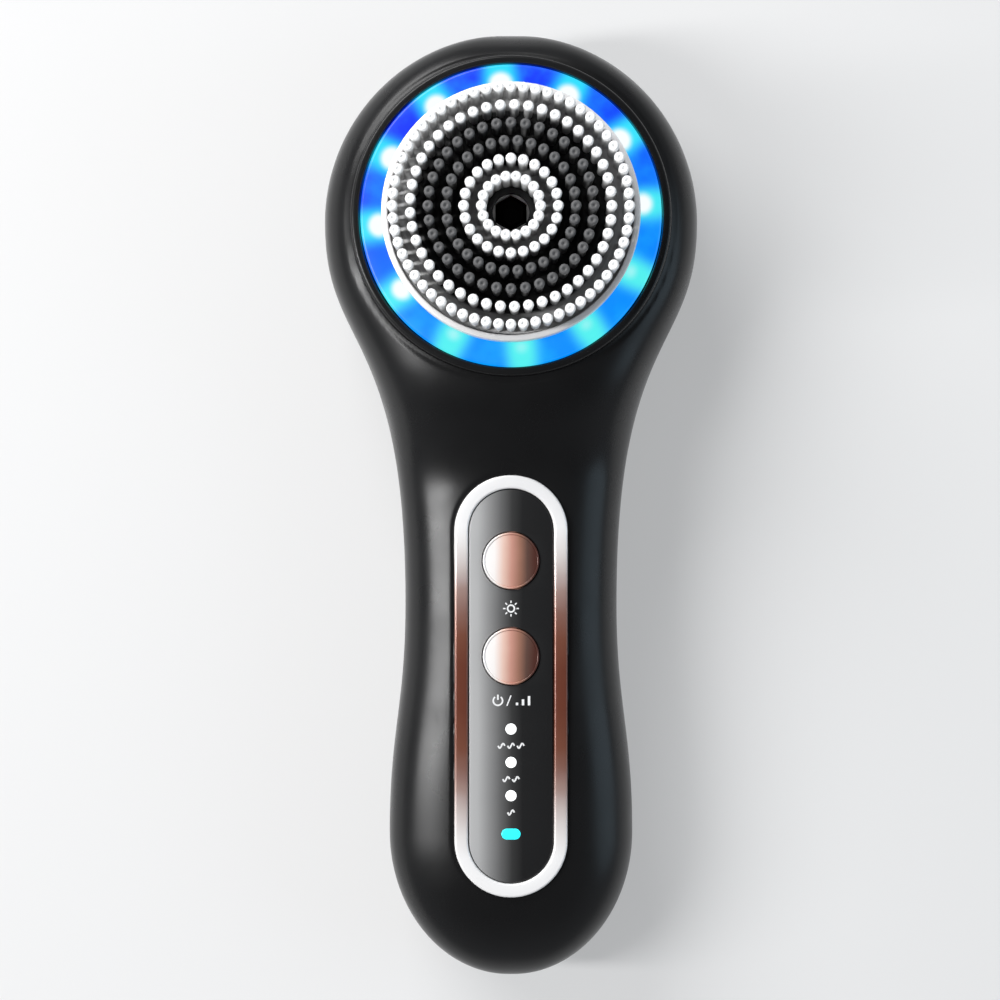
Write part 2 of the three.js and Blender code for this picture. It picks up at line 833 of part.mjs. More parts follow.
function gearboxBase() {
  const middle = (headY + motorY) / 2;
  let base = raised(gearboxOutline(gearboxRadius), gearboxBottom, gearboxRim, 0, middle);
  for (const [x, y] of earSpots) {
    base = base.add(disc(earRadius, gearboxBottom, gearboxRim, x, y, smallSteps));
  }
  const bearingBoss = bearingRadius + clearance + gearboxWall;
  base = base.add(disc(bearingBoss, gearboxBottom - bearingBossDrop, gearboxBottom + weld, 0, headY));
  const room = raised(gearboxOutline(gearboxRadius - gearboxWall), gearboxFloorTop, far, 0, middle);
  base = base.subtract(room);
  base = base.subtract(disc(bearingRadius + clearance, 0, far, 0, headY));
  base = base.subtract(disc(idlerPinRadius + clearance, 0, far, 0, idlerY, smallSteps));
  base = base.subtract(disc(pinionRadius + gearModule + clearance, 0, far, 0, motorY));
  for (const [x, y] of [...earSpots, ...motorScrewSpots]) {
    base = base.subtract(disc(smallScrewClear, 0, far, x, y, smallSteps));
  }
  return base.intersect(roomForm);
}

function gearboxCover() {
  const middle = (headY + motorY) / 2;
  let cover = raised(gearboxOutline(gearboxRadius), coverBottom, coverTop, 0, middle);
  for (const [x, y] of earSpots) {
    cover = cover.add(disc(earRadius, coverBottom, coverTop, x, y, smallSteps));
  }
  for (const [x, y] of earSpots) {
    cover = cover.subtract(disc(smallScrewClear, 0, far, x, y, smallSteps));
  }
  cover = cover.subtract(disc(idlerPinRadius + clearance, 0, far, 0, idlerY, smallSteps));
  return cover.subtract(disc(spindleRadius + 2 * clearance, 0, far, 0, headY)).intersect(roomForm);
}

// ---------- spindle ----------
const spindleBottom = gearboxBottom - bearingDrop;
const upperBearingBottom = headCeiling + bearingLedge + clearance;
const sealTop = faceHeight - sealSink;
const driveFlangeTop = cupBottom - clearance;

function driveSpindle() {
  const flangeBottom = driveFlangeTop - driveFlangeThickness;
  const gearSeat = spindleRadius + gearSeatWidth;
  const shaft = turned(
    [
      [0, spindleBottom],
      [spindleRadius - spindleChamfer, spindleBottom],
      [spindleRadius, spindleBottom + spindleChamfer],
      [spindleRadius, flangeBottom],
      [driveFlangeRadius, flangeBottom],
      [driveFlangeRadius, driveFlangeTop],
      [0, driveFlangeTop],
    ],
    0,
    headY,
    smallSteps
  );
  const seatTop = outputBottom - clearance / 2;
  const collar = disc(gearSeat, seatTop - gearSeatHeight, seatTop, 0, headY, smallSteps);
  const hexRadius = hexAcrossFlats / 2 / Math.cos(Math.PI / 6);
  const hex = raised(hexagon(hexRadius), driveFlangeTop - weld, driveFlangeTop + hexLength, 0, headY);
  return shaft.add(collar).add(hex);
}

// ---------- light ring ----------
function lightRing() {
  const profile = [
    [ringInner, ledBoardBottom],
    [ringInner + skirtWidth, ledBoardBottom],
    [ringInner + skirtWidth, ringUnderside],
    [ringOuter - skirtWidth, ringUnderside],
    [ringOuter - skirtWidth, ledBoardBottom],
    [ringOuter, ledBoardBottom],
    [ringOuter, ringTop - ringRound],
    [ringOuter - ringRound, ringTop],
    [ringInner + ringRound, ringTop],
    [ringInner, ringTop - ringRound],
    [ringInner, ledBoardBottom],
  ];
  return turned(profile, 0, headY, ringSteps);
}

function ledBoard() {
  const inner = ringInner + skirtWidth + clearance;
  const outer = ringOuter - skirtWidth - clearance;
  let board = washer(inner, outer, ledBoardBottom, ledBoardTop, 0, headY, ringSteps);
  const radius = (inner + outer) / 2;
  const half = ledSize / 2;
  for (let k = 0; k < ledCount; k += 1) {
    const low = [-half, radius - half, ledBoardTop - weld];
    const led = block(low, [half, radius + half, ledBoardTop + ledHeight]);
    const turn = THREE.MathUtils.radToDeg(ledTurn) + (k * 360) / ledCount;
    board = board.add(led.rotate([0, 0, turn]).translate([0, headY, 0]));
  }
  return board;
}

// ---------- brush head ----------
// The rows share the space between the collar and the rim, each a gap apart from the next.
const rowsInner = centreHoleRadius + collarWall + collarGap;
const rowSpace = cupInner - clearance - rowsInner - rowGap * (rowCount - 1);
const rowWidth = rowSpace / rowCount;
const rowPitch = rowWidth + rowGap;

function brushCup() {
  const collarTop = tuftPlateTop + collarProud;
  const collarRadius = centreHoleRadius + collarWall;
  const cup = turned(
    [
      [0, cupBottom],
      [cupRadius - cupEdge, cupBottom],
      [cupRadius - cupDraft, cupBottom + cupEdge],
      [cupRadius, rimTop - rimRound],
      [cupRadius - rimRound, rimTop],
      [cupInner + rimRound, rimTop],
      [cupInner, rimTop - rimRound],
      [cupInner, cupFloorTop],
      [collarRadius, cupFloorTop],
      [collarRadius, collarTop],
      [centreHoleRadius, collarTop],
      [centreHoleRadius, cupFloorTop],
      [0, cupFloorTop],
    ],
    0,
    headY,
    ringSteps
  );
  return cup.subtract(raised(hexagon(hexClearRadius), 0, far, 0, headY));
}

function tuftPlate() {
  const inner = centreHoleRadius + collarWall + clearance;
  return washer(inner, cupInner - clearance, platePlane, tuftPlateTop, 0, headY);
}

function bristleRow(k) {
  const inner = rowsInner + k * rowPitch;
  return washer(inner, inner + rowWidth, bristleBottom, bristleTop, 0, headY);
}

// ---------- finishes ----------
function finish(color, roughness, metalness) {
  return () => new THREE.MeshStandardMaterial({ color, roughness, metalness });
}

const blackGloss = finish(0x16171a, 0.28, 0);
const blackMatte = finish(0x1b1b1d, 0.6, 0);
const whitePlastic = finish(0xe9e7e6, 0.35, 0);
const roseGold = finish(0xd59c86, 0.18, 1);
const panelBlack = finish(0x2a2b2e, 0.3, 0.3);
const lightBlue = finish(0x1488ff, 0.3, 0);
const lensWhite = finish(0xf4f6f7, 0.3, 0);
const lensCyan = finish(0x35e0e0, 0.3, 0);
const silicone = finish(0x3a3b3e, 0.8, 0);
const boardGreen = finish(0x1f5a3a, 0.5, 0);
const boardWhite = finish(0xe8ecec, 0.5, 0);
const steel = finish(0xb8babd, 0.3, 1);
const brass = finish(0xc8a24a, 0.35, 1);
const copper = finish(0xb66a3c, 0.4, 1);
const ferriteGrey = finish(0x2d2d30, 0.8, 0);
const acetal = finish(0xe6e3d8, 0.45, 0);
const gearboxGrey = finish(0x5a5d61, 0.5, 0);
const batteryBlue = finish(0x2c6bb0, 0.4, 0);
const bristleWhite = finish(0xf2f1ef, 0.6, 0);
const bristleGrey = finish(0x4a4b4e, 0.6, 0);

// ---------- assembly ----------
const brush = new THREE.Group();

function place(name, solid, material) {
  const { vertProperties, numProp, triVerts } = solid.getMesh();
  const points = new Float32Array((vertProperties.length / numProp) * 3);
  for (let i = 0; i < points.length / 3; i += 1) {
    points.set(vertProperties.subarray(i * numProp, i * numProp + 3), 3 * i);
  }
  const geometry = new THREE.BufferGeometry();
  geometry.setAttribute("position", new THREE.BufferAttribute(points, 3));
  geometry.setIndex(new THREE.BufferAttribute(new Uint32Array(triVerts), 1));
  geometry.computeVertexNormals();
  const mesh = new THREE.Mesh(geometry, material());
  mesh.name = name;
  brush.add(mesh);
}

function placeShells() {
  place("front_shell", frontShell(), blackGloss);
  place("rear_shell", rearShell(), blackGloss);
  place("shell_gasket", shellGasket(), silicone);
  shellScrewSpots.forEach(([x, y], k) => {
    const body = screw(x, y, shellScrewSeat, shellScrewLength, shellScrewRadius, shellScrewHead, 1);
    place(`shell_screw_${k + 1}`, body, steel);
    const plugTop = plugBottom + plugThickness;
    const plug = disc(recessRadius - clearance, plugBottom, plugTop, x, y, smallSteps);
    place(`screw_plug_${k + 1}`, plug, silicone);
  });
}

function placePanel() {
  place("panel_bezel", panelBezel(), roseGold);
  place("panel_plate", panelPlate(), panelBlack);
  place("light_button", button(lightButtonY), roseGold);
  place("mode_button", button(modeButtonY), roseGold);
  lensSpots.forEach((y, k) => place(`mode_lens_${k + 1}`, modeLens(y), lensWhite));
  place("charge_lens", chargeLens(), lensCyan);
  place("button_membrane", buttonMembrane(), silicone);
  place("light_switch", tactSwitch(lightButtonY), blackMatte);
  place("mode_switch", tactSwitch(modeButtonY), blackMatte);
  place("main_board", mainBoard(), boardGreen);
  boardScrewSpots.forEach(([x, y], k) => {
    const seat = boardBottom - clearance;
    const length = handleCeiling - seat;
    place(`board_screw_${k + 1}`, screw(x, y, seat, length, smallScrewRadius, smallScrewHead, 1), steel);
  });
}

function placePower() {
  place("battery_cell", batteryCell(), batteryBlue);
  place("battery_cradle", batteryCradle(), blackMatte);
  const coil = washer(coilBore, coilRadius, coilBottom, coilBottom + coilThickness, 0, coilY);
  place("charging_coil", coil, copper);
  const ferrite = disc(coilRadius, ferriteBottom, ferriteBottom + ferriteThickness, 0, coilY);
  place("ferrite_disc", ferrite, ferriteGrey);
}

function placeMotor() {
  place("motor_can", motorCan(), steel);
  const endCap = disc(motorRadius, endCapBottom, endCapBottom + endCapThickness, 0, motorY);
  place("motor_end_cap", endCap, whitePlastic);
  const magnetInner = magnetOuter - magnetThickness;
  place("motor_magnet", washer(magnetInner, magnetOuter, rotorBottom, rotorTop, 0, motorY), ferriteGrey);
  place("rotor_core", rotorCore(), copper);
  const shaftTop = firstStageTop + shaftOverPinion;
  const shaft = disc(motorShaftRadius, canBottom + clearance, shaftTop, 0, motorY, smallSteps);
  place("motor_shaft", shaft, steel);
  const pinionBore = motorShaftRadius + clearance;
  const pinion = gear(pinionTeeth, towardsHead, pinionBore, firstStageBottom, firstStageTop, motorY);
  place("motor_pinion", pinion, brass);
  motorScrewSpots.forEach(([x, y], k) => {
    const seat = gearboxFloorTop + clearance;
    const length = gearboxFloor + motorWall + motorScrewBite;
    const body = screw(x, y, seat, length, smallScrewRadius, smallScrewHead, -1);
    place(`motor_screw_${k + 1}`, body, steel);
  });
}

function placeGearbox() {
  place("gearbox_base", gearboxBase(), gearboxGrey);
  place("gearbox_cover", gearboxCover(), gearboxGrey);
  place("compound_gear", compoundGear(), acetal);
  place("idler_pin", disc(idlerPinRadius, gearboxBottom, coverTop, 0, idlerY, smallSteps), steel);
  const outputBore = spindleRadius + clearance;
  const output = gear(outputTeeth, towardsFoot, outputBore, outputBottom, outputTop, headY);
  place("output_gear", output, acetal);
  place("drive_spindle", driveSpindle(), steel);
  const bore = spindleRadius + clearance;
  const lowerTop = spindleBottom + bearingLength;
  place("spindle_bearing_lower", washer(bore, bearingRadius, spindleBottom, lowerTop, 0, headY), brass);
  const upperTop = upperBearingBottom + upperBearingLength;
  const upper = washer(bore, upperBearingRadius, upperBearingBottom, upperTop, 0, headY);
  place("spindle_bearing_upper", upper, brass);
  place("shaft_seal", washer(bore, upperBearingRadius, sealTop - sealLength, sealTop, 0, headY), silicone);
  earSpots.forEach(([x, y], k) => {
    const seat = gearboxBottom - clearance;
    const length = headCeiling + earScrewBite - seat;
    place(`gearbox_screw_${k + 1}`, screw(x, y, seat, length, smallScrewRadius, smallScrewHead, 1), steel);
  });
}

function placeLightRing() {
  place("light_ring", lightRing(), lightBlue);
  place("led_board", ledBoard(), boardWhite);
}

function placeBrushHead() {
  place("brush_cup", brushCup(), whitePlastic);
  place("tuft_plate", tuftPlate(), blackMatte);
  for (let k = 0; k < rowCount; k += 1) {
    const dark = k === 2 || k === 3;
    place(`bristle_row_${k + 1}`, bristleRow(k), dark ? bristleGrey : bristleWhite);
  }
}

placeShells();
placePanel();
placePower();
placeMotor();
placeGearbox();
placeLightRing();
placeBrushHead();

export default brush;
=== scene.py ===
"""Facial cleansing brush: the finished surfaces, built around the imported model.

Each surface is a function of two parameters on a grid, or a profile carried along a path. Lengths are in
metres, in the model's own frame: +Z is the brush side, +Y runs from the handle's foot to the head, X is the
width.
"""

import json
import math

import bpy
import numpy as np
from bpy.props import FloatProperty, FloatVectorProperty, IntProperty, PointerProperty
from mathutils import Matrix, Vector


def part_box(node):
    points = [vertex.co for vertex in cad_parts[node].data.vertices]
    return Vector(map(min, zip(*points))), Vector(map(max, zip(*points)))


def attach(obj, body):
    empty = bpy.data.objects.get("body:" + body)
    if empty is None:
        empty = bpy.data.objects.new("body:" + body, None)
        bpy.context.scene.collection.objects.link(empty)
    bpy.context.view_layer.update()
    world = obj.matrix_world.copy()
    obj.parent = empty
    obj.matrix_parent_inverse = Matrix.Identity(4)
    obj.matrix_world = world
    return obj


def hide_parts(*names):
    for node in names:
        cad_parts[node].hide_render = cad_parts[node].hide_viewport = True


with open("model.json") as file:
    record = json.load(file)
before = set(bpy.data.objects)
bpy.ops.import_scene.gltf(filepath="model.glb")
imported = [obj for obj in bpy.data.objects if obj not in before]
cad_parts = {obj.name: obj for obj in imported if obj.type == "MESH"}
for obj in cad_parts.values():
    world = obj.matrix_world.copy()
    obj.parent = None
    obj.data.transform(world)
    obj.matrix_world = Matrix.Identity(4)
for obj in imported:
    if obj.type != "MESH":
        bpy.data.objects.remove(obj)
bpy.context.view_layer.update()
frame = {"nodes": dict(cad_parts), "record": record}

bl_info = {
    "name": "Facial cleansing brush",
    "version": (1, 0, 0),
    "blender": (4, 5, 0),
    "location": "View3D > Sidebar > Brush",
    "description": "Casings, light ring, bristle head and control panel of a facial cleansing brush",
    "category": "Add Mesh",
}

MM = 0.001
WELD = 1e-7
LAMPS = 12
ROWS = 6
BUTTONS = ("light_button", "mode_button")
MODE_LENSES = ("mode_lens_1", "mode_lens_2", "mode_lens_3")


def middle(node):
    """The centre of a node's box, as x, y, z."""
    low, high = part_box(node)
    return (low + high) / 2


def radius_of(node):
    """Half of a round node's longer side across."""
    low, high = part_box(node)
    return max(high.x - low.x, high.y - low.y) / 2


def bottom_of(node):
    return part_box(node)[0].z


def top_of(node):
    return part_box(node)[1].z


def radius_of_head():
    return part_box("front_shell")[1].x


HEAD_Y = middle("light_ring").y
PANEL_Y = middle("panel_bezel").y
PANEL_TOP_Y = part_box("panel_bezel")[1].y
TOE_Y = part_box("front_shell")[0].y
PARTING = (top_of("rear_shell") + bottom_of("front_shell")) / 2
FACE = top_of("front_shell")
PLATE_TOP = top_of("panel_plate")


# ---------- sizes and colours that a user would change ----------
def length(name, description, millimetres):
    value = millimetres * MM
    return FloatProperty(
        name=name, description=description, default=value, unit="LENGTH", subtype="DISTANCE", precision=5
    )


def number(name, description, value):
    return FloatProperty(name=name, description=description, default=value)


def angle(name, description, degrees):
    return FloatProperty(
        name=name, description=description, default=math.radians(degrees), unit="ROTATION", subtype="ANGLE"
    )


def colour(name, description, rgb):
    return FloatVectorProperty(
        name=name, description=description, default=rgb, size=3, min=0, max=1, subtype="COLOR"
    )


class BodySizes(bpy.types.PropertyGroup):
    """The casing's outline and section."""

    shoulder: length("Shoulder", "From the raised face's edge to the head's edge", 5.7)
    waist: length("Waist", "Half of the handle's width at its narrowest", 19.8)
    waist_drop: length("Waist drop", "From the head's centre to the narrowest place", 70.7)
    waist_reach: length("Waist reach", "How far the waist's curve runs before it turns to the head", 52)
    head_reach: length("Head reach", "How far the head's curve runs before it turns to the waist", 24)
    foot: length("Foot", "Half of the handle's width at its foot", 22.75)
    foot_rise: length("Foot rise", "Length of the foot's round end", 26.85)
    foot_reach: length("Foot reach", "How far the foot's side runs before it draws in", 19)
    wall: length("Wall", "Thickness of the casings", 2.2)
    lip: length("Lip", "Rounding of the casings' edges at the seam", 0.3)
    rear_crown: length("Rear crown", "Depth of the rear form before its flat land is cut", 17)
    land_edge: length("Land edge", "Softness of the flat land's edge", 0.5)
    crown_drop: length("Crown drop", "From the raised face down to the head's own crown", 1.5)
    handle_crown: length("Handle crown", "Height of the handle's front over the panel's deck", 1.9)
    deck_gap: length("Deck gap", "From the panel's deck up to its plate", 0.3)
    handle_square: number("Handle squareness", "Power of the handle's rounded section", 2.8)
    head_square: number("Head squareness", "Power of the head's rounded section", 4.5)
    foot_square: number("Foot squareness", "Power of the foot's side view", 2.4)
    groove: length("Groove", "Depth of the fine groove round the bezel and the raised face", 0.2)
    groove_width: length("Groove width", "Half width of that groove", 0.32)


class BrushSizes(bpy.types.PropertyGroup):
    """The bristle head."""

    first_row: length("First row", "Radius of the innermost ring of tufts", 5.15)
    tuft: length("Tuft", "Radius of one tuft near its tip", 0.95)
    tuft_foot: length("Tuft foot", "Radius of one tuft where it leaves the plate", 0.78)
    dimple: length("Dimple", "Depth of the hollow in a tuft's tip", 0.42)
    rim: length("Rim", "Thickness of the cup's wall", 1.1)
    sides: IntProperty(name="Sides", description="Sides of one tuft", default=12, min=6, max=16)


class PanelSizes(bpy.types.PropertyGroup):
    """The control panel."""

    band: length("Band", "Width of the bezel", 2.5)
    gap: length("Gap", "Clearance between fitted pieces", 0.3)
    round: length("Round", "Rounding of the bezel's edges", 0.42)
    mark: length("Mark", "Thickness of a printed mark", 0.03)
    stroke: length("Stroke", "Width of a mark's line", 0.3)


class Colours(bpy.types.PropertyGroup):
    """The finishes' colours."""

    shell: colour("Shell", "Glossy black casing", (0.0062, 0.0062, 0.0065))
    # The two rose gold colours are the pale and deep ends of the bezel's painted reflection: painted light
    # and painted shade.
    plating: colour("Plating", "Rose gold in the light", (1.0, 0.99, 0.985))
    plating_painted_shade: colour("Plating, deep", "Rose gold in the shade", (0.155, 0.045, 0.026))
    # The panel's two colours are the ends of its painted reflection: a painted highlight on the left and
    # painted shade on the right.
    panel_painted_light: colour("Panel, light side", "Satin panel on its light side", (0.42, 0.42, 0.42))
    panel_painted_shade: colour("Panel, dark side", "Satin panel on its dark side", (0.006, 0.006, 0.0065))
    cup: colour("Cup", "White plastic of the cup", (0.95, 0.93, 0.925))
    white_tuft: colour("White tuft", "White filaments", (0.96, 0.96, 0.955))
    grey_tuft: colour("Grey tuft", "Charcoal filaments", (0.09, 0.09, 0.092))
    deep_blue: colour("Deep blue", "Light ring between its lamps, on the dark side", (0.0, 0.02, 0.95))
    azure: colour("Azure", "Light ring between its lamps, on the pale side", (0.0, 0.27, 1.0))
    cyan: colour("Cyan", "Halo round each lamp", (0.02, 0.72, 1.0))
    turquoise: colour("Turquoise", "Halo round each lamp on the pale side", (0.09, 0.88, 0.85))


def body_sizes():
    return bpy.context.scene.brush_body


def brush_sizes():
    return bpy.context.scene.brush_head


def panel_sizes():
    return bpy.context.scene.brush_panel


def colours():
    return bpy.context.scene.brush_colours


# ---------- grids and meshes ----------
def grid_quads(rows, columns, wrap_rows, wrap_columns):
    """Corner numbers of the quads of a grid of points, joined end to end where it wraps."""
    row = np.arange(rows if wrap_rows else rows - 1)[:, None]
    column = np.arange(columns if wrap_columns else columns - 1)[None, :]
    next_row, next_column = (row + 1) % rows, (column + 1) % columns
    corners = [row * columns + column, row * columns + next_column, next_row * columns + next_column,
               next_row * columns + column]
    return np.stack(corners, axis=-1).reshape(-1, 4)


def weld(points, quads):
    """Points that share a place become one, and quads that lose a corner become triangles."""
    _, first, inverse = np.unique(
        np.round(points / WELD).astype(np.int64), axis=0, return_index=True, return_inverse=True
    )
    quads = inverse.reshape(-1)[quads]
    kept = quads != np.roll(quads, -1, axis=1)
    solid = (kept.sum(axis=1) >= 3) & (quads[:, 0] != quads[:, 2]) & (quads[:, 1] != quads[:, 3])
    return points[first], quads[solid], kept[solid]


def enclosed(points, quads):
    """Six times the volume inside a closed surface: negative when its faces point inwards."""
    a, b, c, d = (points[quads[:, k]] - points.mean(axis=0) for k in range(4))
    return (np.cross(a, b) * c).sum() + (np.cross(a, c) * d).sum()


def surface(points, wrap_rows=False, wrap_columns=False):
    """A closed surface from a grid of points (rows, columns, 3), with its faces pointing out."""
    rows, columns = points.shape[:2]
    flat = points.reshape(-1, 3)
    quads = grid_quads(rows, columns, wrap_rows, wrap_columns)
    if enclosed(flat, quads) < 0:
        quads = quads[:, ::-1]
    return weld(flat, quads)


def mesh_object(name, surfaces):
    """One object from several closed surfaces, put into its mesh as whole arrays."""
    points = np.concatenate([s[0] for s in surfaces])
    offsets = np.cumsum([0] + [len(s[0]) for s in surfaces[:-1]])
    quads = np.concatenate([s[1] + offset for s, offset in zip(surfaces, offsets)])
    kept = np.concatenate([s[2] for s in surfaces])
    totals = kept.sum(axis=1)
    loops = quads[kept]
    mesh = bpy.data.meshes.new(name)
    mesh.vertices.add(len(points))
    mesh.vertices.foreach_set("co", points.astype(np.float32).ravel())
    mesh.loops.add(len(loops))
    mesh.loops.foreach_set("vertex_index", loops.astype(np.int32))
    mesh.polygons.add(len(totals))
    mesh.polygons.foreach_set("loop_start", (np.cumsum(totals) - totals).astype(np.int32))
    mesh.update(calc_edges=True)
    mesh.validate()
    obj = bpy.data.objects.new(name, mesh)
    bpy.context.scene.collection.objects.link(obj)
    return obj


def smooth_by_angle(obj, degrees=35):
    """Faces are shaded smooth, and edges sharper than the angle stay crisp."""
    obj.data.shade_smooth()
    obj.data.set_sharp_from_angle(angle=math.radians(degrees))


def place(name, surfaces, body, material, stands_for=(), crisp=35, holes=()):
    """A finished piece: its mesh, shading, material, the body it rides on and the nodes it stands for."""
    obj = mesh_object(name, surfaces)
    if holes:
        cut(obj, holes)
    smooth_by_angle(obj, crisp)
    obj.data.materials.append(material)
    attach(obj, body)
    if stands_for:
        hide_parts(*stands_for)
    return obj


def cut(obj, cutters):
    """Takes the cutters' closed surfaces out of a piece."""
    tool = mesh_object(obj.name + "_cutter", cutters)
    modifier = obj.modifiers.new("holes", "BOOLEAN")
    modifier.operation = "DIFFERENCE"
    modifier.solver = "EXACT"
    modifier.object = tool
    graph = bpy.context.evaluated_depsgraph_get()
    graph.update()
    result = bpy.data.meshes.new_from_object(obj.evaluated_get(graph))
    obj.modifiers.clear()
    old = obj.data
    obj.data = result
    bpy.data.meshes.remove(old)
    tool_mesh = tool.data
    bpy.data.objects.remove(tool)
    bpy.data.meshes.remove(tool_mesh)


# ---------- profiles and paths ----------
def soft_corners(corners, steps=5, closed=True):
    """A profile of straight runs whose corners (x, z, rounding) are turned by tangent arcs."""
    count = len(corners)
    out = []
    for k, (x, z, rounding) in enumerate(corners):
        here = np.array([x, z])
        ends = not closed and k in (0, count - 1)
        if rounding <= 0 or ends:
            out.append(here[None, :])
            continue
        back = np.array(corners[k - 1][:2]) - here
        ahead = np.array(corners[(k + 1) % count][:2]) - here
        back, ahead = back / np.linalg.norm(back), ahead / np.linalg.norm(ahead)
        half = math.acos(np.clip(back @ ahead, -1, 1)) / 2
        reach = rounding / math.tan(half)
        centre = here + (back + ahead) / np.linalg.norm(back + ahead) * rounding / math.sin(half)
        start, end = here + back * reach - centre, here + ahead * reach - centre
        sweep = math.pi - 2 * half
        t = np.linspace(0, 1, steps)[:, None]
        out.append(centre + (np.sin((1 - t) * sweep) * start + np.sin(t * sweep) * end) / math.sin(sweep))
    return np.concatenate(out)


def full_turn(steps):
    """Even directions once round, in radians."""
    return np.linspace(0, 2 * np.pi, steps, endpoint=False)


def turned(profile, y, steps=192, closed=True, x=0.0):
    """A profile of (radius, height) carried round an axis parallel to Z at x, y."""
    turn = full_turn(steps)[None, :]
    radius, height = profile[:, 0][:, None], profile[:, 1][:, None]
    points = np.stack([x + radius * np.cos(turn), y + radius * np.sin(turn), height + 0 * turn], axis=-1)
    return surface(points, wrap_rows=closed, wrap_columns=True)


def round_cutter(radius, low, high, y, steps, x=0.0):
    """An upright cylinder for cutting a round hole."""
    profile = np.array([(0, low), (radius, low), (radius, high), (0, high)])
    return turned(profile, y, steps, closed=False, x=x)


def hexagon(turn, half_flat):
    """Distance from a hexagon's centre to its side in each direction: half the width across flats, over the
    cosine of the angle from that side's middle."""
    return half_flat / np.cos((turn + np.pi / 6) % (np.pi / 3) - np.pi / 6)


def head_loops(turn, levels):
    """Loops round the head's axis, one for each (radius in each direction, height)."""
    return np.stack([
        np.stack([r * np.cos(turn), HEAD_Y + r * np.sin(turn), z + 0 * turn], axis=-1) for r, z in levels
    ])


def slot_path(width, span, arc_steps=40, side_steps=60):
    """The outline of a slot with round ends, standing along Y, with its outward normals."""
    radius = width / 2
    straight = span / 2 - radius
    turn = np.linspace(0, np.pi, arc_steps)
    side = np.linspace(straight, -straight, side_steps)[1:-1]
    zero, one = np.zeros_like(side), np.ones_like(side)
    arc = np.stack([np.cos(turn), np.sin(turn)], axis=-1)
    points = [arc * radius + (0, straight), np.stack([-radius * one, side], axis=-1),
              -arc * radius - (0, straight), np.stack([radius * one, side[::-1]], axis=-1)]
    normals = [arc, np.stack([-one, zero], axis=-1), -arc, np.stack([one, zero], axis=-1)]
    return np.concatenate(points), np.concatenate(normals)


def carried(profile, path, normals, y, closed=True):
    """A profile of (distance outwards, height) carried round a closed flat path."""
    out, height = profile[:, 0][:, None, None], profile[:, 1][:, None, None]
    flat = path[None] + normals[None] * out
    points = np.concatenate([flat, height + 0 * flat[..., :1]], axis=-1) + (0, y, 0)
    return surface(points, wrap_rows=closed, wrap_columns=True)


def stroke(path, width, low, high):
    """A flat line of even width along an open path, closed by a point at each end."""
    along = np.gradient(path, axis=0)
    along /= np.linalg.norm(along, axis=1, keepdims=True)
    aside = np.stack([-along[:, 1], along[:, 0]], axis=-1) * width / 2
    ring = [(path + aside, low), (path - aside, low), (path - aside, high), (path + aside, high)]
    points = np.stack([np.column_stack([flat, np.full(len(flat), z)]) for flat, z in ring], axis=1)
    centre = points.mean(axis=1, keepdims=True)
    ends = [np.repeat(centre[k:k + 1], 4, axis=1) for k in (0, -1)]
    return surface(np.concatenate([ends[0], points, ends[1]]), wrap_columns=True)


# ---------- the casing's form ----------
def bezier(a, b, c, d, steps):
    """A cubic curve from a to d, drawn towards b and c."""
    t = np.linspace(0, 1, steps)[:, None]
    return (1 - t) ** 3 * a + 3 * (1 - t) ** 2 * t * b + 3 * (1 - t) * t * t * c + t ** 3 * d


def half_outline(count):
    """Right half of the casing's outline: a quarter ellipse at the foot, two cubic curves that meet upright
    at the waist, and a quarter circle over the head. Returns evenly spaced points and outward normals."""
    size = body_sizes()
    head = radius_of_head()
    foot_y = TOE_Y + size.foot_rise
    waist_y = HEAD_Y - size.waist_drop
    quarter = np.linspace(-np.pi / 2, 0, 400)[:, None]
    foot = np.hstack([size.foot * np.cos(quarter), foot_y + size.foot_rise * np.sin(quarter)])
    low = bezier(np.array([size.foot, foot_y]), np.array([size.foot, foot_y + size.foot_reach]),
                 np.array([size.waist, waist_y - size.foot_reach]), np.array([size.waist, waist_y]), 400)
    high = bezier(np.array([size.waist, waist_y]), np.array([size.waist, waist_y + size.waist_reach]),
                  np.array([head, HEAD_Y - size.head_reach]), np.array([head, HEAD_Y]), 600)
    cap = np.hstack([head * np.cos(quarter + np.pi / 2), HEAD_Y + head * np.sin(quarter + np.pi / 2)])
    fine = np.concatenate([foot, low[1:], high[1:], cap[1:]])
    run = np.concatenate([[0], np.cumsum(np.linalg.norm(np.diff(fine, axis=0), axis=1))])
    at = np.linspace(0, run[-1], count)
    points = np.column_stack([np.interp(at, run, fine[:, k]) for k in (0, 1)])
    along = np.gradient(fine, run, axis=0)
    along = np.column_stack([np.interp(at, run, along[:, k]) for k in (0, 1)])
    normals = np.column_stack([along[:, 1], -along[:, 0]])
    normals /= np.linalg.norm(normals, axis=1, keepdims=True)
    points[0, 0] = points[-1, 0] = 0
    normals[0], normals[-1] = (0, -1), (0, 1)
    return points, normals


def smoothstep(low, high, value):
    """0 to 1 with a level start and end: 3t^2 - 2t^3."""
    t = np.clip((value - low) / (high - low), 0, 1)
    return t * t * (3 - 2 * t)


def soft_rise(low, high, value):
    """0 to 1 with no sudden bend at either end: 6t^5 - 15t^4 + 10t^3."""
    t = np.clip((value - low) / (high - low), 0, 1)
    return t ** 3 * (t * (6 * t - 15) + 10)


def end_rounding(y):
    """1 along the body, falling to 0 at its two tips as a rounded square does."""
    size = body_sizes()
    foot_y = TOE_Y + size.foot_rise
    past = np.where(y < foot_y, (foot_y - y) / size.foot_rise, (y - HEAD_Y) / radius_of_head())
    power = np.where(y < foot_y, size.foot_square, size.head_square)
    return np.maximum(0, 1 - np.maximum(0, past) ** power) ** (1 / power)


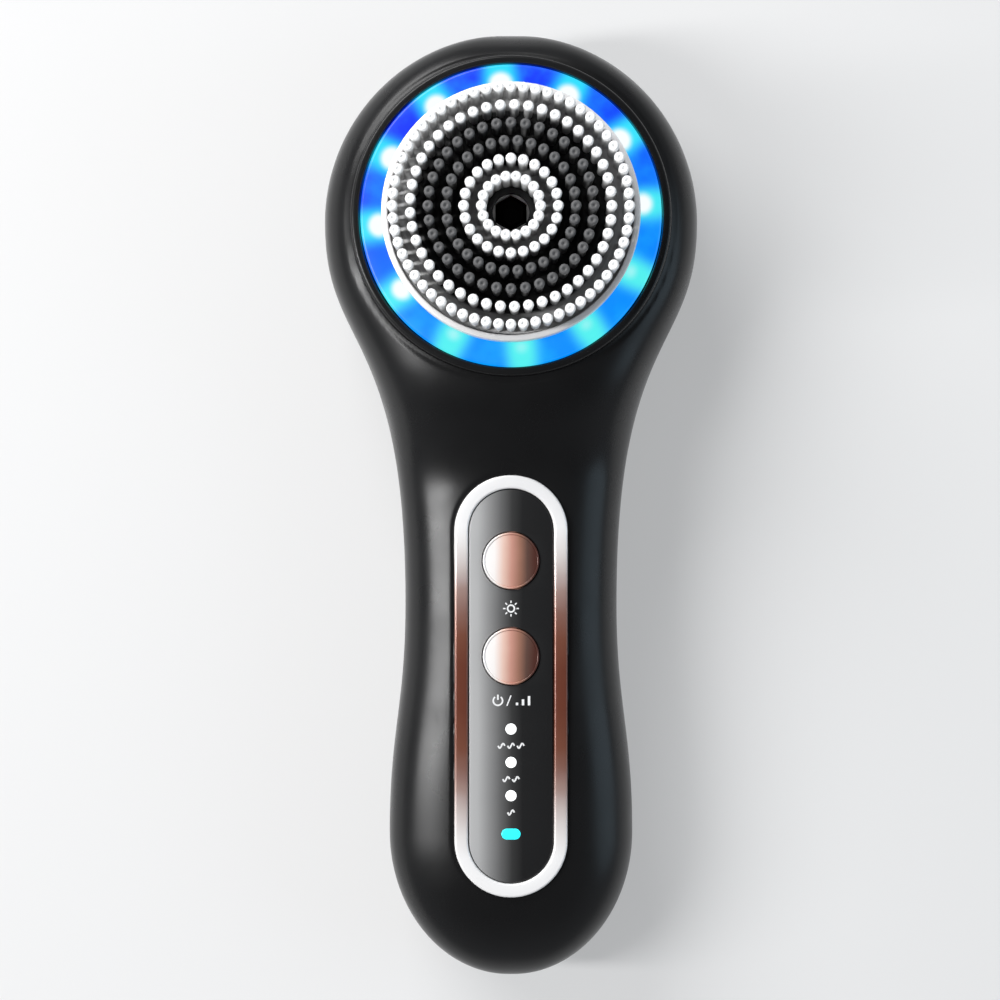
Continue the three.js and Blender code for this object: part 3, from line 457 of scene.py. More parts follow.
def casing_form(direction, inset, stations):
    """The casing's skin as a function of the direction round a section and the station along the outline:
    each section is |x/w|^n + |z/h|^n = 1 about the parting plane, drawn in by an inset."""
    size = body_sizes()
    outline, normals = half_outline(stations)
    y = outline[:, 1][:, None]
    face_radius = radius_of_head() - size.shoulder
    rise_start = PANEL_TOP_Y - 5 * MM
    rise_end = HEAD_Y - face_radius + 4 * MM
    deck = bottom_of("panel_plate") - size.deck_gap
    crown_low = deck + size.handle_crown
    crown = crown_low + (FACE - size.crown_drop - crown_low) * soft_rise(rise_start, rise_end, y) - PARTING
    blend = smoothstep(PANEL_TOP_Y, HEAD_Y - 8 * MM, y)
    power = size.handle_square + (size.head_square - size.handle_square) * blend
    across, up = np.cos(direction)[None, :], np.sin(direction)[None, :]
    reach = (np.abs(across) ** power + np.abs(up) ** power) ** (-1 / power)
    height = np.where(up > 0, crown, size.rear_crown) - inset[None, :]
    flat = outline[:, None, :] - normals[:, None, :] * inset[None, :, None]
    x = flat[..., 0] * reach * across
    z = PARTING + height * end_rounding(y) * reach * up
    return np.stack([x, flat[..., 1] + 0 * x, z], axis=-1)


def section_loop(half_turn, steps):
    """Directions and insets once round a casing's wall: along the skin from seam to seam, and back inside."""
    size = body_sizes()
    ease = np.linspace(0, 1, steps)
    skin = np.radians(1.2) + (half_turn - np.radians(2.4)) * ease
    lip_angles = np.radians([0.0, 0.25, 0.6])
    lip_insets = size.lip * np.array([1.0, 0.35, 0.08])
    back = np.linspace(half_turn, 0, steps // 6)
    direction = np.concatenate([lip_angles, skin, half_turn - lip_angles[::-1], back])
    inset = np.concatenate([lip_insets, np.zeros(steps), lip_insets[::-1], np.full(len(back), size.wall)])
    return direction, inset


def slot_distance(x, y, width, span):
    """Signed distance from a slot's outline in the panel's plane: negative inside."""
    radius = width / 2
    along = np.maximum(np.abs(y - PANEL_Y) - (span / 2 - radius), 0)
    return np.hypot(x, along) - radius


def front_casing_surface(stations=430, steps=180):
    """The front half of the casing's form. It dips out of sight under the panel and under the raised face,
    and a fine groove follows each of their edges."""
    size = body_sizes()
    direction, inset = section_loop(np.pi, steps)
    points = casing_form(direction, inset, stations)
    skin = inset < size.wall / 2
    x, y, z = points[..., 0], points[..., 1], points[..., 2]
    low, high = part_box("panel_bezel")
    edge = slot_distance(x, y, high.x - low.x, high.y - low.y)
    radius = np.hypot(x, y - HEAD_Y)
    face_radius = radius_of_head() - size.shoulder
    under_panel = smoothstep(-0.6 * MM, -1.7 * MM, edge)
    under_face = smoothstep(face_radius - 0.5 * MM, face_radius - 1.8 * MM, radius)
    deck = bottom_of("panel_plate") - size.deck_gap
    floor = bottom_of("light_ring") - 0.6 * MM
    grooves = np.exp(-((edge - 0.1 * MM) / size.groove_width) ** 2)
    grooves += np.exp(-((radius - face_radius - 0.75 * MM) / size.groove_width) ** 2)
    dipped = z + under_panel * (np.minimum(z, deck) - z)
    dipped += under_face * (np.minimum(dipped, floor) - dipped) - size.groove * np.minimum(grooves, 1)
    ceiling = np.minimum(z, deck - 1.8 * MM)
    z = np.where(skin[None, :] & (z > PARTING + 6 * MM), dipped, np.where(skin[None, :], z, ceiling))
    seam = bottom_of("front_shell")
    points[..., 2] = np.maximum(z, seam)
    return surface(points, wrap_columns=True)


def rear_casing_surface(stations=360, steps=150):
    """The rear half of the casing's form, with a flat land that it rests on."""
    size = body_sizes()
    direction, inset = section_loop(np.pi, steps)
    points = casing_form(-direction, inset, stations)
    z = points[..., 2]
    soft = size.land_edge
    floor = np.where(inset > size.wall / 2, size.wall, 0)[None, :]
    over = z - floor
    land = floor + (over + np.sqrt(over ** 2 + soft ** 2)) / 2
    blend = smoothstep(8 * MM, 3 * MM, z)
    z = z + blend * (land - z)
    points[..., 2] = np.clip(z, 0, top_of("rear_shell"))
    return surface(points, wrap_columns=True)


# ---------- materials ----------
class Finish:
    """Builds one material's nodes: a Principled surface with its colour, roughness and bump."""

    def __init__(self, name):
        self.material = bpy.data.materials.new(name)
        self.material.use_nodes = True
        self.tree = self.material.node_tree
        self.shader = next(n for n in self.tree.nodes if n.type == "BSDF_PRINCIPLED")
        self.place = self.add("ShaderNodeTexCoord").outputs["Object"]

    def add(self, kind, inputs=(), **settings):
        node = self.tree.nodes.new(kind)
        for key, value in settings.items():
            setattr(node, key, value)
        for key, value in dict(inputs).items():
            self.feed(node.inputs[key], value)
        return node

    def feed(self, socket, value):
        if isinstance(value, bpy.types.NodeSocket):
            self.tree.links.new(value, socket)
        else:
            socket.default_value = value

    def set(self, **values):
        for key, value in values.items():
            self.feed(self.shader.inputs[key.replace("_", " ")], value)
        return self

    def maths(self, operation, *values):
        node = self.add("ShaderNodeMath", operation=operation)
        for socket, value in zip(node.inputs, values):
            self.feed(socket, value)
        return node.outputs[0]

    def axis(self, letter):
        return self.add("ShaderNodeSeparateXYZ", {0: self.place}).outputs[letter]

    def from_head_axis(self):
        """x and y from the head's axis, and the distance from it."""
        x = self.axis("X")
        y = self.maths("SUBTRACT", self.axis("Y"), HEAD_Y)
        squares = self.maths("ADD", self.maths("MULTIPLY", x, x), self.maths("MULTIPLY", y, y))
        return x, y, self.maths("SQRT", squares)

    def wobble(self, scale, detail, depth):
        """Slow changes either side of zero."""
        return self.maths("MULTIPLY", self.maths("SUBTRACT", self.noise(scale, detail), 0.5), depth)

    def noise(self, scale, detail=2.0, stretch=(1, 1, 1), rough=0.5):
        mapped = self.add("ShaderNodeMapping", {"Vector": self.place, "Scale": stretch}).outputs[0]
        inputs = {"Vector": mapped, "Scale": scale, "Detail": detail, "Roughness": rough}
        return self.add("ShaderNodeTexNoise", inputs).outputs["Fac"]

    def span(self, value, low, high, to_low=0.0, to_high=1.0, kind="SMOOTHSTEP"):
        node = self.add("ShaderNodeMapRange", interpolation_type=kind)
        for socket, part in zip(node.inputs, (value, low, high, to_low, to_high)):
            self.feed(socket, part)
        return node.outputs[0]

    def ramp(self, factor, stops):
        node = self.add("ShaderNodeValToRGB", {"Fac": factor})
        elements = node.color_ramp.elements
        while len(elements) < len(stops):
            elements.new(0.5)
        for element, (position, rgb) in zip(elements, stops):
            element.position = position
            element.color = (*rgb[:3], 1)
        return node.outputs["Color"]

    def mix(self, factor, a, b, blend_type="MIX"):
        node = self.add("ShaderNodeMix", data_type="RGBA", blend_type=blend_type)
        for socket, value in ((node.inputs[0], factor), (node.inputs[6], a), (node.inputs[7], b)):
            self.feed(socket, (*value[:3], 1) if isinstance(value, (tuple, list)) else value)
        return node.outputs[2]

    def bump(self, height, distance, strength=1.0):
        inputs = {"Height": height, "Distance": distance, "Strength": strength}
        self.set(Normal=self.add("ShaderNodeBump", inputs).outputs[0])
        return self


def tint(rgb, factor):
    return tuple(min(1.0, c * factor) for c in rgb)


def moulded(name, rgb, rough, grain=2600, depth=0.006 * MM, spread=0.12, metallic=0.0, coat=0.0):
    """Moulded plastic: a fine grain, slow changes of gloss and tone, and faint rubbed patches."""
    finish = Finish(name)
    slow = finish.noise(60, 3)
    tone = finish.mix(slow, tint(rgb, 1 - spread), tint(rgb, 1 + spread))
    rubbed = finish.span(finish.noise(210, 4), 0.62, 0.8)
    finish.set(Base_Color=finish.mix(rubbed, tone, tint(rgb, 1.25 + spread)))
    finish.set(Roughness=finish.span(finish.noise(140, 4), 0.3, 0.7, rough * 0.88, rough * 1.15))
    finish.set(Metallic=metallic, Coat_Weight=coat)
    return finish.bump(finish.noise(grain, 2), depth, 0.6).material


def metal(name, rgb, rough, brush=(1, 1, 0.02), scale=3000):
    """Machined metal: fine lines along one way, stains of tone and of gloss."""
    finish = Finish(name)
    lines = finish.noise(scale, 2, brush)
    stain = finish.noise(170, 4)
    finish.set(Base_Color=finish.mix(stain, tint(rgb, 0.8), tint(rgb, 1.1)), Metallic=1.0)
    finish.set(Roughness=finish.span(lines, 0.3, 0.7, rough * 0.75, rough * 1.4))
    return finish.bump(lines, 0.004 * MM, 0.5).material


def shell_finish():
    """Glossy black casing: a deep tone, a faint ripple of the moulding, and light handling marks."""
    rgb = tuple(colours().shell)
    finish = Finish("black_shell")
    finish.set(Base_Color=finish.mix(finish.noise(45, 3), tint(rgb, 0.8), tint(rgb, 1.25)))
    marks = finish.span(finish.noise(900, 5, (1, 0.15, 1), 0.65), 0.56, 0.8)
    gloss = finish.span(finish.noise(75, 4), 0.3, 0.72, 0.26, 0.33)
    finish.set(Roughness=finish.maths("ADD", gloss, finish.maths("MULTIPLY", marks, 0.05)))
    finish.set(IOR=1.38)
    return finish.bump(finish.noise(420, 2), 0.004 * MM, 0.5).material


def plating_with_painted_reflection(name, along, stops):
    """Polished rose gold plating with a painted reflection, whose colour runs through the stops along one
    way.
    """
    finish = Finish(name)
    factor = finish.maths("ADD", along(finish), finish.wobble(90, 3, 0.12))
    hair = finish.noise(5200, 2, (1, 0.05, 1))
    finish.set(Base_Color=finish.ramp(factor, stops), Metallic=0.2)
    finish.set(Roughness=finish.span(hair, 0.3, 0.7, 0.16, 0.26))
    return finish.bump(hair, 0.002 * MM, 0.3).material


def bezel_finish():
    """Painted reflection: deep copper painted shade at the bezel's middle, turning to pale painted light
    towards both ends.
    """
    paint = colours()
    # These stops paint a reflection: painted shade at the middle, painted reflected light at the ends.
    stops = [(0.1, tuple(paint.plating_painted_shade)), (0.26, (0.195, 0.07, 0.043)), (0.36, (0.25, 0.124, 0.097)),
             (0.47, (0.385, 0.26, 0.23)), (0.57, (0.6, 0.51, 0.485)), (0.68, (0.85, 0.81, 0.79)),
             (0.78, tuple(paint.plating))]
    return plating_with_painted_reflection("bezel_plating_painted_reflection", bezel_reach, stops)


def button_finish():
    """Painted reflection: a near white painted highlight at a button's left edge, deep copper painted shade
    at its right.
    """
    # These stops paint a reflection: a painted highlight on the left, painted shade on the right.
    stops = [(0.0, (1.0, 0.99, 0.98)), (0.2, (1.0, 0.95, 0.92)), (0.36, (0.87, 0.6, 0.5)),
             (0.5, (0.64, 0.32, 0.25)), (0.64, (0.37, 0.18, 0.125)), (0.78, (0.13, 0.07, 0.055)),
             (0.92, (0.09, 0.032, 0.024))]
    return plating_with_painted_reflection("button_plating_painted_reflection", button_reach, stops)


def panel_finish():
    """Satin panel with a painted reflection, a pale painted highlight on its left and near black painted
    shade on its right, with a fine grain.
    """
    paint = colours()
    finish = Finish("panel_satin_painted_reflection")
    low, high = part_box("panel_plate")
    across = finish.span(finish.axis("X"), low.x, high.x, kind="LINEAR")
    light, dark = tuple(paint.panel_painted_light), tuple(paint.panel_painted_shade)
    # The ramp paints a reflection across the panel: painted highlight on the left, painted shade on the
    # right.
    fades = ((0.1, 0.93), (0.235, 0.57), (0.38, 0.26), (0.51, 0.07))
    stops = [(0.0, light), *((at, tint(light, left)) for at, left in fades), (0.64, dark), (1.0, dark)]
    finish.set(Base_Color=finish.ramp(finish.maths("ADD", across, finish.wobble(60, 2, 0.05)), stops))
    grain = finish.noise(5000, 2)
    finish.set(Roughness=finish.span(grain, 0.3, 0.7, 0.34, 0.46), Metallic=0.1)
    return finish.bump(grain, 0.003 * MM, 0.5).material


def ring_finish():
    """Frosted ring lit from behind by twelve lamps: a hot core and a cyan halo round each lamp, and blue
    between them that is deeper on the upper left."""
    paint = colours()
    finish = Finish("lit_ring")
    first_lamp = math.radians(-4.5)
    lamp_pitch = 2 * math.pi / LAMPS
    lamp_radius = 23.9 * MM
    x, y, radius = finish.from_head_axis()
    turn = finish.maths("ARCTAN2", x, y)
    step = finish.maths("DIVIDE", finish.maths("SUBTRACT", turn, first_lamp), lamp_pitch)
    offset = finish.maths("SUBTRACT", step, finish.maths("ROUND", step))
    along = finish.maths("MULTIPLY", offset, finish.maths("MULTIPLY", radius, lamp_pitch))
    out = finish.maths("SUBTRACT", radius, lamp_radius)

    def glow(wide, deep):
        """A bell-shaped spot about the nearest lamp, e^-(a^2 + b^2)."""
        a = finish.maths("POWER", finish.maths("DIVIDE", finish.maths("ABSOLUTE", along), wide), 2.0)
        b = finish.maths("POWER", finish.maths("DIVIDE", finish.maths("ABSOLUTE", out), deep), 2.0)
        return finish.maths("EXPONENT", finish.maths("MULTIPLY", finish.maths("ADD", a, b), -1.0))

    pale_side = finish.maths("SUBTRACT", finish.maths("MULTIPLY", x, 0.35), finish.maths("MULTIPLY", y, 0.94))
    pale = finish.span(pale_side, -22 * MM, 24 * MM)
    mottle = finish.noise(140, 3)
    between = finish.mix(pale, tuple(paint.deep_blue), tuple(paint.azure))
    between = finish.mix(finish.span(mottle, 0.4, 0.75, 0.0, 0.22), between, tuple(paint.cyan))
    halo = finish.maths("MULTIPLY", glow(3.3 * MM, 9 * MM), finish.span(pale, 0, 1, 1.0, 0.9))
    core = finish.maths("MULTIPLY", glow(1.9 * MM, 1.7 * MM), finish.span(pale, 0.5, 1, 1.3, 0.3))
    sheen = finish.mix(pale, tuple(paint.cyan), tuple(paint.turquoise))
    light = finish.mix(finish.span(halo, 0.08, 0.85), between, sheen)
    light = finish.mix(finish.span(core, 0.1, 0.8), light, (0.95, 1.0, 1.0))
    finish.set(Base_Color=(0.0, 0.012, 0.03, 1), Roughness=0.35)
    finish.set(Emission_Color=light, Emission_Strength=1.0)
    return finish.bump(finish.noise(1800, 2), 0.01 * MM, 0.4).material


def tuft_finish(name, rgb, rough, shade):
    """Fine filaments: lines that run up the tuft, with painted shade down its sides, so it is paler towards
    the tip.
    """
    finish = Finish(name)
    strands = finish.noise(4200, 2, (1, 1, 0.06))
    low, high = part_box("bristle_row_1")
    # Painted shade: the sides keep only the shade fraction of the colour, less towards the foot, and the tip
    # keeps the full colour.
    tip = finish.span(finish.axis("Z"), high.z - 1.1 * MM, high.z - 0.3 * MM)
    side = finish.span(finish.axis("Z"), low.z, high.z, shade * 0.6, shade, "LINEAR")
    tone = finish.mix(tip, finish.mix(side, (0, 0, 0), rgb), tint(rgb, 1.04))
    finish.set(Base_Color=finish.mix(finish.span(strands, 0.35, 0.65, 0.0, 0.22), tone, tint(rgb, 0.7)))
    finish.set(Roughness=rough, Sheen_Weight=0.15)
    return finish.bump(strands, 0.05 * MM, 0.55).material


def tuft_plate_finish():
    """Dark plate, pale grey under the two inner and the two outer rings of tufts."""
    finish = Finish("tuft_plate")
    radius = finish.from_head_axis()[2]
    first, last = brush_sizes().first_row, radius_of("bristle_row_6") - brush_sizes().tuft
    pitch = (last - first) / (ROWS - 1)
    inside = finish.span(radius, first + 1.1 * pitch, first + 0.9 * pitch)
    outside = finish.span(radius, last - 0.9 * pitch, last - 0.7 * pitch)
    lining = finish.span(radius, first - 0.1 * pitch, first - 0.25 * pitch)
    pale = finish.maths("SUBTRACT", finish.maths("ADD", inside, outside), lining)
    tone = finish.mix(finish.noise(160, 3), (0.008, 0.008, 0.0085), (0.011, 0.011, 0.0115))
    finish.set(Base_Color=finish.mix(pale, tone, (0.62, 0.62, 0.62)))
    finish.set(Roughness=finish.span(finish.noise(140, 4), 0.3, 0.7, 0.45, 0.58))
    return finish.bump(finish.noise(2200, 2), 0.006 * MM, 0.6).material


def cup_finish():
    """White plastic that turns a warm peach towards the foot of its wall."""
    finish = Finish("white_plastic")
    white = tuple(colours().cup)
    low = bottom_of("brush_cup")
    rise = finish.span(finish.axis("Z"), low + 0.4 * MM, low + 1.6 * MM)
    tone = finish.mix(finish.noise(80, 3), tint(white, 0.97), tint(white, 1.03))
    finish.set(Base_Color=finish.mix(rise, (0.8, 0.42, 0.3), tone))
    finish.set(Roughness=finish.span(finish.noise(260, 4), 0.3, 0.7, 0.25, 0.36))
    return finish.bump(finish.noise(2400, 2), 0.006 * MM, 0.5).material


def glowing(name, rgb, strength):
    """A lit light pipe: even light with a faint grain."""
    finish = Finish(name)
    grain = finish.noise(900, 2)
    finish.set(Base_Color=(*rgb, 1), Roughness=0.3)
    finish.set(Emission_Color=finish.mix(grain, tint(rgb, 0.92), rgb), Emission_Strength=strength)
    return finish.material


MADE = {}


def material_for(slot):
    """The material of one of the record's slots, made once."""
    if slot not in MADE:
        MADE[slot] = RECIPES[slot]()
    return MADE[slot]


def bezel_reach(finish):
    """0 at the panel's middle, 1 at its two ends."""
    low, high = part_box("panel_bezel")
    away = finish.maths("ABSOLUTE", finish.maths("SUBTRACT", finish.axis("Y"), PANEL_Y - 0.75 * MM))
    return finish.span(away, 0, (high.y - low.y) / 2, kind="LINEAR")


def button_reach(finish):
    """0 at a button's left edge, 1 at its right edge."""
    radius = radius_of("light_button") - 0.9 * MM
    return finish.span(finish.axis("X"), -radius, radius, kind="LINEAR")


RECIPES = {
    "black_shell": shell_finish,
    "silicone": lambda: moulded("silicone", (0.03, 0.03, 0.032), 0.7, 1800, 0.012 * MM),
    "rose_gold": button_finish,
    "bezel": bezel_finish,
    "panel_black": panel_finish,
    "white_lens": lambda: glowing("white_lens", (0.97, 0.99, 1.0), 1.3),
    "cyan_lens": lambda: glowing("cyan_lens", (0.02, 0.95, 1.0), 1.1),
    "black_fitting": lambda: moulded("black_fitting", (0.009, 0.009, 0.0095), 0.5, 2200),
    "board_green": lambda: moulded("board_green", (0.02, 0.13, 0.06), 0.4, 900),
    "board_white": lambda: moulded("board_white", (0.75, 0.78, 0.78), 0.5, 900),
    "steel": lambda: metal("steel", (0.62, 0.62, 0.63), 0.3),
    "blackened_steel": lambda: metal("blackened_steel", (0.004, 0.004, 0.004), 0.5),
    "brass": lambda: metal("brass", (0.78, 0.6, 0.28), 0.32),
    "copper": lambda: metal("copper", (0.7, 0.33, 0.18), 0.35, (0.02, 1, 1)),
    "ferrite": lambda: moulded("ferrite", (0.045, 0.045, 0.05), 0.75, 1500, 0.02 * MM),
    "battery_wrap": lambda: moulded("battery_wrap", (0.03, 0.16, 0.45), 0.3, 700, coat=0.4),
    "white_plastic": cup_finish,
    "gearbox_grey": lambda: moulded("gearbox_grey", (0.13, 0.14, 0.15), 0.5, 1600),
    "acetal": lambda: moulded("acetal", (0.78, 0.75, 0.66), 0.42, 1600),
    "tuft_plate": tuft_plate_finish,
    "light_ring": ring_finish,
    # The last number is the share of colour that the tufts' sides keep under painted shade.
    "white_bristle": lambda: tuft_finish("white_filament", tuple(colours().white_tuft), 0.5, 0.85),
    "grey_bristle": lambda: tuft_finish("charcoal_filament", tuple(colours().grey_tuft), 0.55, 0.06),
    "print": lambda: moulded("printed_white", (0.8, 0.8, 0.8), 0.5, 5000, 0.002 * MM, 0.05),
}


# ---------- the pieces ----------
class MakeRearCasing(bpy.types.Operator):
    """Rear casing with four plugged screw holes"""

    bl_idname = "brush.rear_casing"
    bl_label = "Rear casing"

    def execute(self, context):
        plugs = [f"screw_plug_{k}" for k in range(1, 5)]
        holes = []
        for plug in plugs:
            spot = middle(plug)
            holes.append(round_cutter(radius_of(plug) + 0.22 * MM, -2 * MM, 4 * MM, spot.y, 64, spot.x))
        material = material_for("black_shell")
        casing = rear_casing_surface()
        place("rear_casing", [casing], "handle", material, ["rear_shell"], 30, holes)
        for plug in plugs:
            spot = middle(plug)
            radius, low, high = radius_of(plug), bottom_of(plug), top_of(plug)
            edge = 0.35 * MM
            corners = [(0, high, 0), (radius, high, 0), (radius, low, edge), (radius * 0.42, low, 0.1 * MM),
                       (radius * 0.36, low + 0.3 * MM, 0.1 * MM), (0, low + 0.3 * MM, 0)]
            profile = soft_corners(corners, closed=False)
            plug_surface = turned(profile, spot.y, 48, closed=False, x=spot.x)
            place(f"{plug}_cap", [plug_surface], "handle", material_for("silicone"), [plug])
        return {"FINISHED"}


class MakeFrontCasing(bpy.types.Operator):
    """Front casing with a well under each button, and its raised face with the light ring's channel"""

    bl_idname = "brush.front_casing"
    bl_label = "Front casing"

    def execute(self, context):
        size = body_sizes()
        radius = radius_of_head() - size.shoulder
        inner, outer = radius_of("led_board") - 4.8 * MM, radius_of("light_ring") + 0.3 * MM
        bore = radius_of("shaft_seal") + 0.3 * MM
        low, floor = bottom_of("light_ring") - 3 * MM, bottom_of("light_ring") - 0.3 * MM
        edge = 0.3 * MM
        corners = [(bore, low, 0), (radius + 0.5 * MM, low, 0), (radius + 0.35 * MM, FACE - 3 * MM, 0),
                   (radius, FACE, 0.55 * MM), (outer, FACE, edge), (outer, floor, 0), (inner, floor, 0),
                   (inner, FACE, edge), (bore, FACE, edge)]
        face = turned(soft_corners(corners), HEAD_Y, 256)
        material = material_for("black_shell")
        deck = bottom_of("panel_plate")
        well_gap, well_depth = 0.5 * MM, 5 * MM
        wells = [
            round_cutter(radius_of(node) + well_gap, deck - well_depth, deck + MM, middle(node).y, 64)
            for node in BUTTONS
        ]
        casing = front_casing_surface()
        place("front_casing", [casing], "handle", material, ["front_shell"], 35, wells)
        place("raised_face", [face], "handle", material)
        return {"FINISHED"}


class MakeLightRing(bpy.types.Operator):
    """Frosted light ring, seated in the raised face's channel"""

    bl_idname = "brush.light_ring"
    bl_label = "Light ring"

    def execute(self, context):
        outer, low, high = radius_of("light_ring"), bottom_of("light_ring"), top_of("light_ring")
        inner = radius_of("led_board") - 4.5 * MM
        skirt = 1.0 * MM
        underside = high - 1.6 * MM
        corners = [(inner, low, 0), (inner + skirt, low, 0), (inner + skirt, underside, 0),
                   (outer - skirt, underside, 0), (outer - skirt, low, 0), (outer, low, 0),
                   (outer, high, 0.5 * MM), (inner, high, 0.5 * MM)]
        ring = turned(soft_corners(corners), HEAD_Y, 288)
        place("lit_ring", [ring], "handle", material_for("light_ring"), ["light_ring"])
        return {"FINISHED"}


class MakeSpindle(bpy.types.Operator):
    """Drive spindle with its flange and hexagonal nose, and the lip seal round it"""

    bl_idname = "brush.spindle"
    bl_label = "Spindle and seal"

    def execute(self, context):
        low, high = bottom_of("drive_spindle"), top_of("drive_spindle")
        flange_top = bottom_of("brush_cup") - 0.3 * MM
        flange_bottom = flange_top - 0.8 * MM
        shaft, flange, half_flat = 2.5 * MM, 5.5 * MM, 2.5 * MM
        corners = [(0, low, 0), (shaft, low, 0.3 * MM), (shaft, flange_bottom, 0),
                   (flange, flange_bottom, 0.15 * MM), (flange, flange_top, 0.25 * MM), (0, flange_top, 0)]
        body = turned(soft_corners(corners, closed=False), HEAD_Y, 96, closed=False)
        turn = full_turn(96)
        flat = hexagon(turn, half_flat)
        chamfer, tip = 0.5 * MM, 0.82
        foot = flange_top - 0.2 * MM
        levels = [(0, foot), (flat, foot), (flat, high - chamfer), (tip * flat, high), (0, high)]
        nose = surface(head_loops(turn, levels), wrap_columns=True)
        place("spindle_nose", [body, nose], "spindle", material_for("blackened_steel"),
              ["drive_spindle"], 25)
        outer, bottom, top = radius_of("shaft_seal"), bottom_of("shaft_seal"), top_of("shaft_seal")
        inner = shaft + 0.12 * MM
        seal = [(inner + 0.7 * MM, bottom, 0), (outer, bottom, 0), (outer, top, 0.3 * MM),
                (outer - 1.3 * MM, top, 0.3 * MM), (outer - 1.6 * MM, top - 0.8 * MM, 0.3 * MM),
                (inner, top - 0.35 * MM, 0.1 * MM), (inner, top - 0.8 * MM, 0)]
        lip = turned(soft_corners(seal), HEAD_Y, 96)
        place("lip_seal", [lip], "handle", material_for("silicone"), ["shaft_seal"])
        return {"FINISHED"}


class MakeBrushHead(bpy.types.Operator):
    """White cup, dark tuft plate and six rings of tufts"""

    bl_idname = "brush.bristle_head"
    bl_label = "Bristle head"

    COUNTS = (18, 24, 30, 36, 45, 60)
    FIRST = (0.5, 0.0, 0.5, 0.0, 0.25, 0.0)

    def execute(self, context):
        size = brush_sizes()
        outer, low, high = radius_of("brush_cup"), bottom_of("brush_cup"), top_of("brush_cup")
        floor = bottom_of("tuft_plate") - 0.3 * MM
        hole = 3.6 * MM
        collar = top_of("tuft_plate") + 0.35 * MM
        wall = 0.5 * MM
        bevel, rim_round, inside = 0.9 * MM, 0.38 * MM, outer - size.rim
        corners = [(hole, low, 0.2 * MM), (outer - bevel, low, 0.3 * MM), (outer, low + bevel, 0.5 * MM),
                   (outer, high, rim_round), (inside, high, rim_round), (inside, floor, 0.2 * MM),
                   (hole + wall, floor, 0), (hole + wall, collar, 0.15 * MM), (hole, collar, 0.15 * MM)]
        cup = turned(soft_corners(corners, 7), HEAD_Y, 256)
        material = material_for("white_plastic")
        hub = self.hub(hole + 0.05 * MM, low + 0.05 * MM, floor)
        place("bristle_cup", [cup, hub], "brush_head", material, ["brush_cup"], 30)
        self.plate(outer - size.rim - 0.25 * MM, hole, hole + wall, collar)
        for k, (count, first) in enumerate(zip(self.COUNTS, self.FIRST)):
            self.tufts(k, count, first)
        return {"FINISHED"}

    def hub(self, outer, low, high):
        """The socket's wall: round outside, six-sided inside, in the cup's floor."""
        turn = full_turn(96)
        flat = hexagon(turn, 2.8 * MM)
        levels = [(flat, low), (outer, low), (outer, high), (flat, high)]
        return surface(head_loops(turn, levels), wrap_rows=True, wrap_columns=True)

    def plate(self, outer, hole, collar_radius, collar_top):
        """A disc with a shallow ridge between each pair of tuft rings, as a raised cosine, and an eyelet that
        laps over the cup's collar and lines its hole."""
        low, high = bottom_of("tuft_plate"), top_of("tuft_plate")
        gap = 0.03 * MM
        inner = collar_radius + 0.35 * MM
        radius = np.linspace(inner, outer, 140)
        first, pitch = brush_sizes().first_row, self.pitch()
        ripple = 0.5 + 0.5 * np.cos(2 * np.pi * ((radius - first) / pitch - 0.5))
        top = np.column_stack([radius, high - 0.25 * MM + 0.25 * MM * ripple ** 3])
        lip = collar_top + 0.3 * MM
        sleeve = hole - 0.3 * MM
        eyelet = [(collar_radius + gap, low, 0), (collar_radius + gap, collar_top + gap, 0),
                  (hole - gap, collar_top + gap, 0), (hole - gap, low, 0), (sleeve, low, 0),
                  (sleeve, lip, 0.15 * MM), (inner, lip, 0.2 * MM), (inner, high, 0)]
        profile = np.concatenate([top, [[outer, low]], soft_corners(eyelet, closed=False)])
        place("tuft_disc", [turned(profile, HEAD_Y, 192)], "brush_head",
              material_for("tuft_plate"), ["tuft_plate"], 60)

    def pitch(self):
        """The distance from one ring of tufts to the next."""
        outermost = radius_of("bristle_row_6") - 0.95 * MM
        return (outermost - brush_sizes().first_row) / (ROWS - 1)

    def tufts(self, row, count, first):
        """Round tufts set upright on a circle, each a profile turned about its own axis."""
        size = brush_sizes()
        low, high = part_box(f"bristle_row_{row + 1}")
        bottom, top = low.z - 0.3 * MM, high.z
        r = size.tuft
        profile = np.array([
            (0, bottom), (size.tuft_foot, bottom), (size.tuft_foot * 1.05, bottom + 5 * MM),
            (r, top - 0.55 * r), (0.95 * r, top - 0.27 * r), (0.78 * r, top - 0.07 * r), (0.46 * r, top),
            (0.26 * r, top - 0.35 * size.dimple), (0, top - size.dimple),
        ])
        spin = full_turn(size.sides)
        ring = size.first_row + row * self.pitch()
        turn = (np.arange(count) + first) * 2 * np.pi / count
        turn, spin = turn[:, None, None], spin[None, None, :]
        radius, height = profile[None, :, None, 0], profile[None, :, None, 1]
        x = ring * np.sin(turn) + radius * np.cos(spin)
        y = HEAD_Y + ring * np.cos(turn) + radius * np.sin(spin)
        z = height + 0 * x
        tufts = [surface(points, wrap_columns=True) for points in np.stack([x, y, z], axis=-1)]
        slot = "grey_bristle" if row in (2, 3) else "white_bristle"
        node = f"bristle_row_{row + 1}"
        place(f"tuft_ring_{row + 1}", tufts, "brush_head", material_for(slot), [node], 80)


